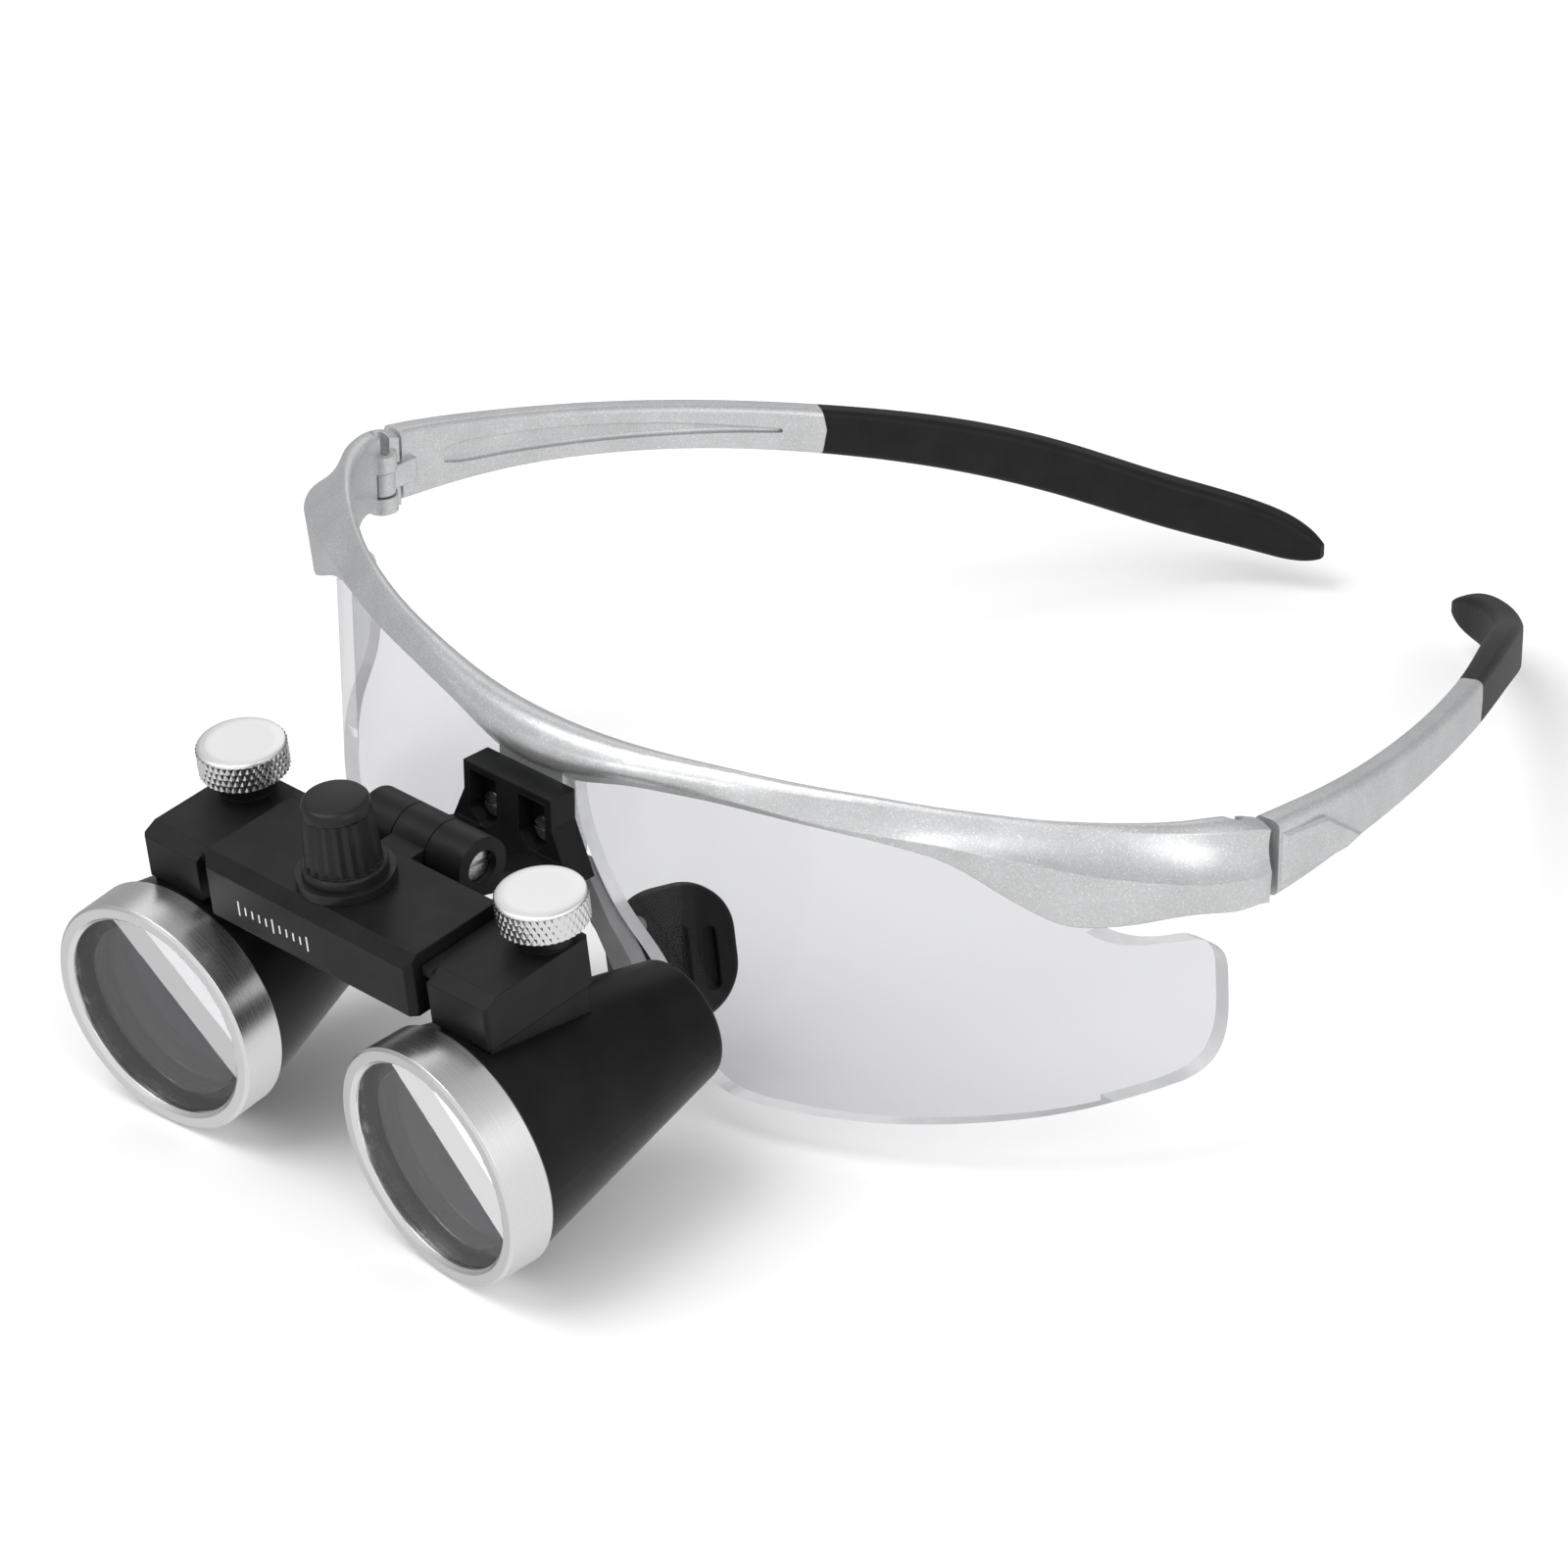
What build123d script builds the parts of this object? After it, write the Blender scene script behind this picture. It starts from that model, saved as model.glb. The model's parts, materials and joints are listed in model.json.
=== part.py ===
from build123d import *
import math
import os

os.makedirs("parts", exist_ok=True)

# Dental loupes: a sports spectacle frame that carries two 3.5x telescopes on a
# flip-up deck. Working frame, in millimetres: X+ is the wearer's left, Y- is
# forward, Z+ is up, and the origin is midway between the outer top corners of
# the two temple hinges. The finished parts are moved at the end, so that the
# written origin is the centre of the footprint on the table.

# ---------------------------------------------------------------- front frame
hinge_half_width = 74.0        # outer face of the end piece, from the middle
brow_wrap = 41.7               # how far the bridge stands in front of the hinges
brow_end_depth = 4.0           # front-to-back thickness of the brow at its ends
brow_end_y = -0.4              # rear face of the end piece

# The inner edge of the brow in plan, from the bridge to the end piece: across
# as a share of the inner half width, and forward as a share of the wrap.
brow_plan = [
    (0.000, 1.000),
    (0.200, 0.965),
    (0.400, 0.876),
    (0.600, 0.728),
    (0.786, 0.520),
    (0.922, 0.306),
    (0.984, 0.140),
    (1.000, 0.010),
]
# Stations along the brow, from the bridge to the end piece: place as a share
# of its length, height of the top, then height and standing-out of the upper
# ridge, the lower ridge and the bottom edge, height of the rear lower edge,
# and how far the face bulges (+) or is hollowed (-) between the ridges.
brow_stations = [
    (0.00, 4.2, 2.4, 4.0, -0.4, 4.4, -1.9, 3.2, -1.7, 0.45),
    (0.09, 4.2, 2.5, 3.8, 0.2, 4.2, -1.3, 3.1, -1.1, 0.42),
    (0.15, 4.3, 2.9, 3.4, 1.1, 3.8, 0.0, 2.9, 0.2, 0.35),
    (0.30, 4.7, 3.7, 2.4, 2.0, 3.3, 1.1, 2.85, 1.3, 0.15),
    (0.47, 4.6, 4.0, 1.6, 1.1, 3.2, 0.4, 2.85, 0.6, -0.05),
    (0.59, 4.0, 3.6, 1.2, 0.9, 3.7, -1.2, 3.2, -0.8, -0.35),
    (0.65, 3.7, 3.3, 1.2, 0.5, 4.5, -3.5, 4.1, -2.4, -0.50),
    (0.70, 3.4, 3.0, 1.3, 0.2, 5.1, -5.8, 4.8, -4.0, -0.60),
    (0.765, 3.2, 2.8, 1.5, -0.5, 6.0, -7.7, 5.3, -5.4, -0.70),
    (0.815, 3.1, 2.6, 1.9, -1.1, 6.4, -7.5, 5.5, -5.8, -0.70),
    (0.88, 2.9, 2.3, 2.5, -2.2, 6.4, -6.9, 5.3, -6.2, -0.70),
    (0.93, 2.7, 1.8, 3.0, -3.2, 5.8, -7.4, 4.8, -7.2, -0.60),
    (0.97, 2.1, 1.2, 3.4, -4.2, 4.9, -8.5, 4.3, -8.3, -0.50),
    (1.00, 1.0, 0.3, 3.8, -5.0, 4.15, -9.1, 3.9, -8.9, -0.40),
]
brow_sections = 24             # sections that each half of the brow is drawn through
bridge_tab_width = 10.4        # tab under the bridge that takes the bracket
bridge_tab_front = -45.3
bridge_tab_rear = -41.6
bridge_tab_bottom = -12.6

# --------------------------------------------------------------------- lenses
lens_thickness = 1.8
lens_inset = 0.7               # rear face of the lens, in front of the brow's inner edge
lens_groove_depth = 1.3        # how far the lens stands up into the brow
lens_groove_clearance = 0.05

# --------------------------------------------------------------------- temples
temple_thickness = 3.4
temple_front_y = 0.2           # front face of the temple, behind the end piece
temple_points = [
    (72.3, temple_front_y, -4.0),
    (68.3, 23.9, -6.9),
    (60.9, 45.7, -11.0),
    (51.0, 66.3, -16.4),
    (39.8, 85.2, -23.3),
    (28.2, 101.3, -31.6),
    (19.4, 108.9, -35.0),
    (11.4, 112.2, -37.0),
]
# share of the temple's length, height and thickness there
temple_stations = [
    (0.00, 9.8, 3.5),
    (0.05, 9.0, 3.4),
    (0.12, 7.8, 3.2),
    (0.22, 6.8, 3.1),
    (0.35, 6.3, 3.1),
    (0.48, 6.5, 3.2),
    (0.60, 7.0, 3.6),
    (0.72, 7.4, 3.8),
    (0.84, 7.2, 3.8),
    (0.93, 6.6, 3.6),
    (0.98, 4.6, 2.8),
    (1.00, 2.0, 1.2),
]
temple_corner = 0.3            # corner radius as a share of the thickness
tip_start = 0.45               # share of the length where the rubber tip starts
tip_point = 2.2                # how far the silver point runs into the tip
tang_end = 0.80
tang_height = 3.0
tang_thickness = 1.4
recess_depth = 0.7
recess_start = 0.05
recess_end = 0.42
recess_height = 2.9
# outline of the recess: place along its length, share of its full height
recess_outline = [
    (0.00, 0.60), (0.05, 0.95), (0.15, 1.00), (0.30, 0.95), (0.45, 0.85),
    (0.60, 0.70), (0.75, 0.52), (0.90, 0.32), (1.00, 0.18),
]
tongue_root = 0.7              # inner side of the tongue's neck, from the axis
cheek_rise = 0.45              # raised cheek on the outer face behind the hinge
# outline of the raised cheek: distance behind the hinge, height
cheek_outline = [(0.5, -0.7), (9.0, -2.2), (16.3, -7.6), (13.0, -8.2), (0.5, -7.4)]

# --------------------------------------------------------------- temple hinges
hinge_axis_inset = 3.6         # hinge axis, inboard of the outer face
hinge_axis_y = -3.7
knuckle_radius = 2.1
tongue_radius = 1.8
tongue_top = -3.0
tongue_bottom = -6.1
knuckle_top = -0.6
knuckle_bottom = -8.5
knuckle_gap = 0.2              # above and below the tongue
hinge_pin_radius = 0.7
hinge_head_radius = 1.2
hinge_head_height = 0.6
hinge_slot_width = 0.4         # of the screw's slot
running_clearance = 0.05
swing_clearance = 0.5          # round the tongue as it turns

# ----------------------------------------------------------------- nose pieces
saddle_thickness = 2.2
saddle_set_back = 0.7          # behind the front face of the bridge tab
saddle_half_width = 5.2
leg_gap = 0.9                  # between the saddle's leg and the lens edge
leg_foot = (18.0, -26.5)
leg_inner = [(14.0, -27.2), (9.5, -20.4), (4.6, -15.6), (0.0, -14.4)]
pad_depth = 16.0
pad_height = 17.0
pad_thickness = 2.8
pad_edge_round = 0.9
pad_center = (11.4, -34.2, -27.4)
pad_splay = 20.0               # rear edges of the pads stand wider, degrees
pad_tilt = 14.0                # lower edges of the pads stand wider, degrees
pad_pockets = [(-3.4, 2.6, 7.0), (0.6, 2.4, 10.0), (4.3, 2.0, 8.0)]   # place, width, height
pad_pocket_depth = 1.0
pad_stem_radius = 1.3
stem_start = (11.2, -19.6)

# --------------------------------------------------------------- mount bracket
pivot_y = -61.3                # flip hinge axis
pivot_z = -5.2
bracket_depth = 3.9
bracket_top = -2.1
bracket_bottom = -12.4
bracket_top_half = 7.2
bracket_waist_z = -5.9
bracket_bottom_half = 10.2
bracket_wall = 1.0
bracket_rib = 3.6              # width of the rib between the two pockets
pocket_floor_z = -9.8
pocket_depth = 2.6
arm_inner = 2.9                # the fork's two arms stand this far from the middle
arm_outer = 8.6
arm_root_inner = 4.2           # the arm's web is narrower than its knuckle
bracket_screw_x = 4.2
bracket_screw_z = -7.6
bracket_screw_radius = 0.9
bracket_screw_head = 1.5
bracket_head_height = 0.9

# ------------------------------------------------------------------ flip hinge
flip_radius = 3.7
flip_pin_radius = 1.1
flip_head_radius = 2.0
flip_head_height = 0.9
flip_head_recess = 1.1         # the screw head and the nut lie this deep in the knuckles
flip_slot_width = 0.5
head_clearance = 0.1

# ----------------------------------------------------- deck (about the pivot)
declination = 6.9              # the deck and telescopes look down by this angle
deck_front = -19.7
deck_rear = -5.7
deck_top = 2.2
deck_bottom = -5.8
deck_half_width = 17.2
deck_chamfer = 1.5
deck_corner = 0.8
lug_half_width = 2.75

rail_front = -15.4
rail_rear = -7.2               # inside the centre block
rail_end_rear = -3.9           # the rail's wide ends, inside the slider blocks
rail_top = -1.9
rail_bottom = -4.9
rail_half_length = 27.4
rail_screw_radius = 1.0
rail_screw_reach = 2.6         # of the thread above the rail
rail_screw_head_rim = 0.8      # of the head, round the thread
rail_screw_x = 11.0
slide_clearance = 0.06

# -------------------------------------------------------------- slider blocks
slider_inner = 19.2
slider_outer = 28.5
slider_front = -18.9
slider_rear = -2.6
slider_top = 0.67
slider_ledge_inner = 17.5
slider_ledge_thickness = 1.3
slider_chamfer_down = 2.1
slider_chamfer_back = 1.0
slider_corner = 0.4
slider_travel = 5.0

# --------------------------------------------------------------- clamp knobs
knob_x = 24.8
knob_y = -5.6
knob_radius = 5.4
knob_height = 4.0
knob_neck_radius = 2.4
knob_neck_height = 2.2
knob_edge = 0.35
knob_stud_radius = 1.4
knob_boss_radius = 3.4
knob_boss_height = 1.3
shoe_length = 7.4
shoe_width = 5.0
shoe_height = 0.9
shoe_clearance = 0.12
clamp_pitch = 0.5              # the clamp opens by this much in one turn

# ------------------------------------------------------- light mounting knob
light_y = -12.65
washer_radius = 5.8
washer_height = 1.3
light_flange_radius = 5.0
light_flange_height = 1.3
light_base_radius = 4.5
light_top_radius = 4.0
light_grip_height = 8.4
light_screw_radius = 1.5
light_screw_length = 5.0

# ------------------------------------------------------------------ telescopes
barrel_x = 23.1                # centre of the front glass
barrel_y = -25.2
barrel_z = -20.1
toe_in = 4.6                   # the two telescopes converge by this angle each
bezel_radius = 14.95
bezel_length = 6.2
glass_view_radius = 12.9
glass_recess = 0.8
bezel_bevel = 0.5
bezel_bore = 13.9
bezel_edge = 0.35
cover_glass_thickness = 1.4
cone_front_radius = 14.5
cone_rear_radius = 7.4
barrel_length = 38.0
barrel_rear_round = 1.5
objective_radius = 12.4
objective_bore_clearance = 0.05
eyepiece_lip = 1.2             # barrel wall behind the eye lens
objective_ring_length = 1.2
objective_ring_inner = 11.3
crown_center = 3.4
flint_center = 1.3
objective_front_bulge = 0.7
objective_back_bulge = -0.4
objective_joint_bulge = 1.5
objective_seat = 11.3
cavity_rear_radius = 6.4
cavity_rear = 30.0
eyepiece_bore = 5.9
eyepiece_thickness = 1.6
eyepiece_ring_inner = 4.6
eyepiece_ring_length = 1.4
eyepiece_seat = 4.8
saddle_width_inner = 20.0
saddle_width_outer = 28.0
saddle_rear = -3.2
saddle_front_y = -18.4

nodes = {}


def box(x0, x1, y0, y1, z0, z1):
    """A box between two corners."""
    size = (abs(x1 - x0), abs(y1 - y0), abs(z1 - z0))
    middle = ((x0 + x1) / 2, (y0 + y1) / 2, (z0 + z1) / 2)
    return Pos(*middle) * Box(*size)


def post(radius, z0, z1, x=0.0, y=0.0):
    """An upright cylinder between two heights."""
    return Pos(x, y, (z0 + z1) / 2) * Cylinder(radius, abs(z1 - z0))


def rod(radius, x0, x1, y=0.0, z=0.0):
    """A cylinder along X between two places."""
    return Pos((x0 + x1) / 2, y, z) * Rot(0, 90, 0) * Cylinder(radius, abs(x1 - x0))


def turned(points):
    """A solid turned about Y from an outline of (radius, distance) points."""
    outline = make_face(Polyline(*points, close=True))
    return revolve(outline, Axis.Y)


def mirrored(shape):
    return mirror(shape, about=Plane.YZ)


# ---------------------------------------------------------------- front frame
inner_half = hinge_half_width - brow_end_depth


half_path = [(across * inner_half, brow_end_y - forward * (brow_wrap + brow_end_y))
             for across, forward in brow_plan]
whole_path = [(-x, y) for x, y in reversed(half_path[1:])] + half_path
brow_path = Spline(*whole_path)


def eased(rows, place):
    """Values between the rows of a table, with level tangents at its turning points."""
    for i in range(len(rows) - 1):
        if rows[i][0] <= place <= rows[i + 1][0]:
            break
    span = rows[i + 1][0] - rows[i][0]
    part = (place - rows[i][0]) / span
    values = []
    for column in range(1, len(rows[0])):
        slopes = []
        for k in (i, i + 1):
            before = after = 0.0
            if k > 0:
                before = (rows[k][column] - rows[k - 1][column]) / (rows[k][0] - rows[k - 1][0])
            if k < len(rows) - 1:
                after = (rows[k + 1][column] - rows[k][column]) / (rows[k + 1][0] - rows[k][0])
            if k == len(rows) - 1:
                slopes.append(before)
            elif before * after <= 0:
                slopes.append(0.0)
            else:
                slopes.append(2 * before * after / (before + after))
        a, b = rows[i][column], rows[i + 1][column]
        rise = (2 * part ** 3 - 3 * part ** 2 + 1) * a + (-2 * part ** 3 + 3 * part ** 2) * b
        lean = (part ** 3 - 2 * part ** 2 + part) * slopes[0] + (part ** 3 - part ** 2) * slopes[1]
        values.append(rise + lean * span)
    return values


def brow_section(share):
    """The brow's outline at a share of its inner edge."""
    point = brow_path @ share
    tangent = brow_path % share
    normal = Vector(tangent.Y, -tangent.X, 0)
    place = abs(share - 0.5) * 2
    top, upper, upper_out, lower, lower_out, bottom, bottom_out, rear_bottom, bulge = eased(
        brow_stations, place)
    plane = Plane(origin=point, x_dir=normal, z_dir=-tangent)
    rear_low = (0.0, rear_bottom)
    rear_high = (0.0, top - 0.5)
    ridge_high = (upper_out, upper)
    ridge_low = (lower_out, lower)
    front_low = (bottom_out, bottom)
    middle = ((upper_out + lower_out) / 2 + bulge, (upper + lower) / 2)
    crown = (upper_out * 0.45, top)
    outline = [
        Line(rear_low, rear_high),
        Spline(rear_high, crown, ridge_high),
        Spline(ridge_high, middle, ridge_low),
        Line(ridge_low, front_low),
        Line(front_low, rear_low),
    ]
    return plane * make_face(outline)


half_sections = [brow_section(0.5 + 0.5 * i / brow_sections) for i in range(-1, brow_sections + 1)]
half_brow = loft(half_sections) & box(0, hinge_half_width + 10, -brow_wrap - 10, 10, -20, 20)


def offset_curve(distance, samples=24, start=0.0, end=1.0):
    """The brow's inner edge, moved outward by a distance."""
    points = []
    for i in range(samples + 1):
        share = start + (end - start) * i / samples
        tangent = brow_path % share
        normal = Vector(tangent.Y, -tangent.X, 0)
        points.append(brow_path @ share + normal * distance)
    return Spline(*points)


def curved_sheet(near, far, z0, z1):
    """An upright sheet that follows the brow, between two offsets and heights."""
    inner = offset_curve(near)
    outer = offset_curve(far)
    face = make_face([inner, outer, Line(inner @ 1, outer @ 1), Line(inner @ 0, outer @ 0)])
    return extrude(Pos(0, 0, z0) * face, amount=z1 - z0)


# Outline of the wearer's left lens, seen from the front: (x, z).
nasal_edge = [(5.9, -2.3), (6.4, -6.4), (8.6, -12.2), (12.5, -18.2), (15.7, -21.7)]
nasal_edge += [(19.6, -28.2), (22.4, -34.6)]
lower_edge = [(25.6, -37.2), (31.2, -37.9), (42.2, -37.5), (52.0, -36.1), (61.1, -33.9)]
lower_edge += [(68.6, -30.9), (76.0, -27.4)]
tail_top = [(67.7, -11.8), (64.4, -11.4), (61.5, -9.0)]
# The temporal end of the lens, seen from the side: (y, z).
temporal_edge = [(-13.1, -11.8), (-8.2, -12.2), (-5.9, -14.4), (-5.2, -18.5)]
temporal_edge += [(-5.1, -23.6), (-6.6, -28.1), (-11.8, -31.0), (-16.2, -32.6)]


def brow_bottom(x):
    """Height of the brow's rear lower edge at a place across the frame."""
    low, high = 0.5, 1.0
    for _ in range(30):
        middle = (low + high) / 2
        if (brow_path @ middle).X < x:
            low = middle
        else:
            high = middle
    return eased(brow_stations, abs(low - 0.5) * 2)[7]


top_edge = []
for x in (57.0, 50.0, 40.0, 28.0, 16.0, 10.5):
    top_edge.append((x, brow_bottom(x) + lens_groove_depth))
nose_corner = (5.8, brow_bottom(10.5) + lens_groove_depth)


def lens_outline():
    return [
        Line(nose_corner, nasal_edge[0]),
        Spline(*nasal_edge),
        Spline(nasal_edge[-1], *lower_edge),
        Polyline(lower_edge[-1], (lower_edge[-1][0], tail_top[0][1]), tail_top[0]),
        Spline(*tail_top),
        Polyline(tail_top[-1], *top_edge, nose_corner),
    ]


def temporal_outline():
    start, end = temporal_edge[0], temporal_edge[-1]
    return [
        Spline(*temporal_edge),
        Polyline(end, (end[0], -60.0), (-80.0, -60.0), (-80.0, 20.0), (start[0], 20.0), start),
    ]


front_plane = Plane(origin=(0, 0, 0), x_dir=(1, 0, 0), z_dir=(0, -1, 0))


def lens_solid(near, far, rise):
    face = front_plane * make_face(lens_outline())
    prism = extrude(face, amount=brow_wrap + 10.0)
    sheet = curved_sheet(near, far, -45.0, 20.0)
    side = extrude(Plane.YZ * make_face(temporal_outline()), amount=hinge_half_width + 10.0)
    piece = sheet & prism & side
    if rise:
        piece += Pos(0, 0, rise) * piece
    return piece


lens_far = lens_inset + lens_thickness
left_lens = lens_solid(lens_inset, lens_far, 0)
groove = lens_solid(lens_inset - lens_groove_clearance, lens_far + lens_groove_clearance, 0.1)
half_brow = half_brow - groove

bridge_tab = box(-bridge_tab_width / 2, bridge_tab_width / 2, bridge_tab_front, bridge_tab_rear,
                 bridge_tab_bottom, brow_stations[0][6] + 1.5)

# --------------------------------------------------------------- temple hinges
hinge_x = hinge_half_width - hinge_axis_inset
slot_low = tongue_bottom - knuckle_gap
slot_high = tongue_top + knuckle_gap
head_low = knuckle_top - hinge_head_height

# two knuckles under and over the tongue, part of the end piece
knuckles = post(knuckle_radius, knuckle_bottom, knuckle_top, hinge_x, hinge_axis_y)
swing_radius = tongue_radius + swing_clearance
tongue_slot = post(swing_radius, slot_low, slot_high, hinge_x, hinge_axis_y)
tongue_slot += box(hinge_x - 3 * swing_radius, hinge_x + swing_radius, hinge_axis_y - tongue_radius,
                   brow_end_y + 1.0, slot_low, slot_high)
pin_hole = post(hinge_pin_radius, knuckle_bottom - 2.0, knuckle_top, hinge_x, hinge_axis_y)
head_hole = post(hinge_head_radius, head_low, brow_stations[0][1], hinge_x, hinge_axis_y)
half_frame = half_brow + knuckles - tongue_slot - pin_hole - head_hole
front_frame = half_frame + mirrored(half_frame) + bridge_tab

left_pin = post(hinge_pin_radius, knuckle_bottom, head_low, hinge_x, hinge_axis_y)
left_pin += post(hinge_head_radius, head_low, knuckle_top, hinge_x, hinge_axis_y)
left_pin -= box(hinge_x - hinge_head_radius, hinge_x + hinge_head_radius,
                hinge_axis_y - hinge_slot_width / 2, hinge_axis_y + hinge_slot_width / 2,
                knuckle_top - hinge_head_height / 2, knuckle_top + 1)
nodes["hinge_screws"] = [left_pin, mirrored(left_pin)]

# --------------------------------------------------------------------- temples
temple_path = Spline(*temple_points)


def temple_plane(share):
    tangent = temple_path % share
    flat = Vector(tangent.X, tangent.Y, 0).normalized()
    return Plane(origin=temple_path @ share, x_dir=Vector(flat.Y, -flat.X, 0), z_dir=-flat)


def temple_size(share):
    for a, b in zip(temple_stations, temple_stations[1:]):
        if a[0] <= share <= b[0]:
            part = (share - a[0]) / (b[0] - a[0])
            return a[1] + (b[1] - a[1]) * part, a[2] + (b[2] - a[2]) * part
    return temple_stations[-1][1:]


def temple_section(share, height, thickness):
    corner = min(temple_corner * thickness, 0.45 * height)
    return temple_plane(share) * RectangleRounded(thickness, height, corner)


temple_whole = loft([temple_section(*station) for station in temple_stations])

# a raised cheek on the outer face, just behind the hinge
front_plane_of_temple = temple_plane(0.0)
outward = front_plane_of_temple.x_dir
backward = Vector(-outward.Y, outward.X, 0)
cheek_face_x = temple_stations[0][2] / 2
cheek_plane = Plane(origin=Vector(*temple_points[0][:2], 0), x_dir=backward, z_dir=outward)
cheek = cheek_plane * extrude(make_face(Polyline(*cheek_outline, close=True)),
                              amount=cheek_face_x + cheek_rise)
cheek = chamfer(cheek.faces().sort_by(Axis(origin=(0, 0, 0), direction=tuple(outward)))[-1].edges(),
                cheek_rise * 0.9)
temple_whole = temple_whole + cheek

cut_height = 12.0
tip_at = temple_path @ tip_start
tip_plane = temple_plane(tip_start)
split_outline = Polyline((-cut_height, -40.0), (0, -40.0), (cut_height, -40.0), (cut_height, 0.0),
                         (0, tip_point), (-cut_height, 0.0), close=True)
# the split is drawn looking along the temple's thickness: height, then length
split_plane = Plane(origin=tip_at - tip_plane.x_dir * 15.0, x_dir=(0, 0, 1), z_dir=tip_plane.x_dir)
along = split_plane.y_dir.dot(-tip_plane.z_dir)
if along < 0:
    split_outline = Polyline((-cut_height, 40.0), (cut_height, 40.0), (cut_height, 0.0),
                             (0, -tip_point), (-cut_height, 0.0), close=True)
split_near = extrude(split_plane * make_face(split_outline), amount=30.0)
split_all = box(20.0, 95.0, -2.0, (temple_path @ (tip_start - 0.12)).Y, -40.0, 10.0)
silver_zone = split_near + split_all
temple_front = temple_whole & silver_zone
tip_body = temple_whole - silver_zone


def tang(grow, end):
    shares = [tip_start - 0.06, tip_start + 0.04, 0.66, 0.74, end]
    sections = []
    for share in shares:
        sections.append(temple_section(share, tang_height + 2 * grow, tang_thickness + 2 * grow))
    return loft(sections)


temple_core = tang(0.0, tang_end)
tip_body = tip_body - temple_core
if len(tip_body.solids()) > 1:
    tip_body = max(tip_body.solids(), key=lambda s: s.volume)
temple_front = temple_front + temple_core


def recess_section(share, height):
    plane = temple_plane(share)
    _, thickness = temple_size(share)
    face = RectangleRounded(2 * recess_depth, height, min(0.45 * height, 0.5))
    return plane * (Pos(-thickness / 2, 0) * face)


recess_sections = []
for place, part in recess_outline:
    share = recess_start + (recess_end - recess_start) * place
    recess_sections.append(recess_section(share, recess_height * part))
recess = loft(recess_sections)
temple_front = temple_front - recess

tongue = post(tongue_radius, tongue_bottom, tongue_top, hinge_x, hinge_axis_y)
tongue += box(hinge_x - tongue_root, hinge_x + tongue_radius, hinge_axis_y, temple_front_y + 1.6,
              tongue_bottom, tongue_top)
temple_front = temple_front + tongue
temple_front = temple_front - post(hinge_pin_radius + running_clearance, tongue_bottom - 1.0,
                                   tongue_top + 1.0, hinge_x, hinge_axis_y)
nodes["left_temple"] = temple_front
nodes["right_temple"] = mirrored(temple_front)
nodes["left_temple_tip"] = tip_body
nodes["right_temple_tip"] = mirrored(tip_body)

# ----------------------------------------------------------------- nose pieces
saddle_rear_y = bridge_tab_front + saddle_set_back + saddle_thickness
leg_outer = [(x - leg_gap, z) for x, z in nasal_edge[2:5]] + [leg_foot]
half_saddle = Polyline((0.0, bridge_tab_bottom), (saddle_half_width, bridge_tab_bottom),
                       *leg_outer, *leg_inner, close=True)
left_leg = Pos(0, saddle_rear_y, 0) * extrude(front_plane * make_face(half_saddle),
                                              amount=saddle_thickness)
nose_saddle = left_leg + mirrored(left_leg)

pad_place = Location(pad_center, (0, 0, -pad_splay)) * Rot(0, -pad_tilt, 0)
pad_face = Plane.YZ * RectangleRounded(pad_depth, pad_height, pad_depth * 0.42)
left_pad = extrude(pad_face, amount=pad_thickness / 2, both=True)
left_pad = fillet(left_pad.edges().filter_by(GeomType.LINE, reverse=True), pad_edge_round)
for y, width, height in pad_pockets:
    pocket = Plane.YZ * (Pos(y, -1.0) * RectangleRounded(width, height, width * 0.45))
    left_pad -= Pos(pad_thickness / 2 - pad_pocket_depth, 0, 0) * extrude(pocket, amount=3.0)
left_pad = pad_place * left_pad
stem_from = Vector(stem_start[0], saddle_rear_y, stem_start[1])
stem_to = pad_place.position + Vector(-0.4, -4.5, 5.5)
stem_axis = stem_to - stem_from
stem_plane = Plane(origin=stem_from - stem_axis.normalized() * 0.8, z_dir=stem_axis)
stem = extrude(stem_plane * Circle(pad_stem_radius), amount=stem_axis.length) - left_pad
nodes["nose_saddle"] = nose_saddle + stem + mirrored(stem)
nodes["left_nose_pad"] = left_pad
nodes["right_nose_pad"] = mirrored(left_pad)

# --------------------------------------------------------------- mount bracket
bracket_front = bridge_tab_front - bracket_depth


def rod_back(radius, x, z, y0, y1):
    """A cylinder along Y between two places."""
    return Pos(x, (y0 + y1) / 2, z) * Rot(90, 0, 0) * Cylinder(radius, abs(y1 - y0))


half_outline = [(bracket_top_half, bracket_top), (bracket_top_half, bracket_waist_z),
                (bracket_bottom_half, bracket_bottom)]
whole_outline = half_outline + [(-x, z) for x, z in reversed(half_outline)]
housing_face = make_face(Polyline(*whole_outline, close=True))
mount_bracket = Pos(0, bridge_tab_front, 0) * extrude(front_plane * housing_face, amount=bracket_depth)
pocket_floor = bracket_front + pocket_depth
rib_side = bracket_rib / 2
pocket_side = bracket_top_half - bracket_wall
pocket_face = make_face(Polyline(
    (rib_side, bracket_top - bracket_wall), (pocket_side, bracket_top - bracket_wall),
    (pocket_side, pocket_floor_z + 1.6), (pocket_side - 1.6, pocket_floor_z),
    (rib_side + 1.6, pocket_floor_z), (rib_side, pocket_floor_z + 1.6), close=True))
pocket = Pos(0, pocket_floor, 0) * extrude(front_plane * pocket_face, amount=bracket_depth)
mount_bracket = mount_bracket - pocket - mirrored(pocket)
arm_outline = Polyline((pivot_y, pivot_z - flip_radius), (bracket_front + 1.0, bracket_bottom + 0.6),
                       (bracket_front + 1.0, pocket_floor_z - 0.4), (pivot_y, pivot_z - 1.0),
                       close=True)
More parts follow.
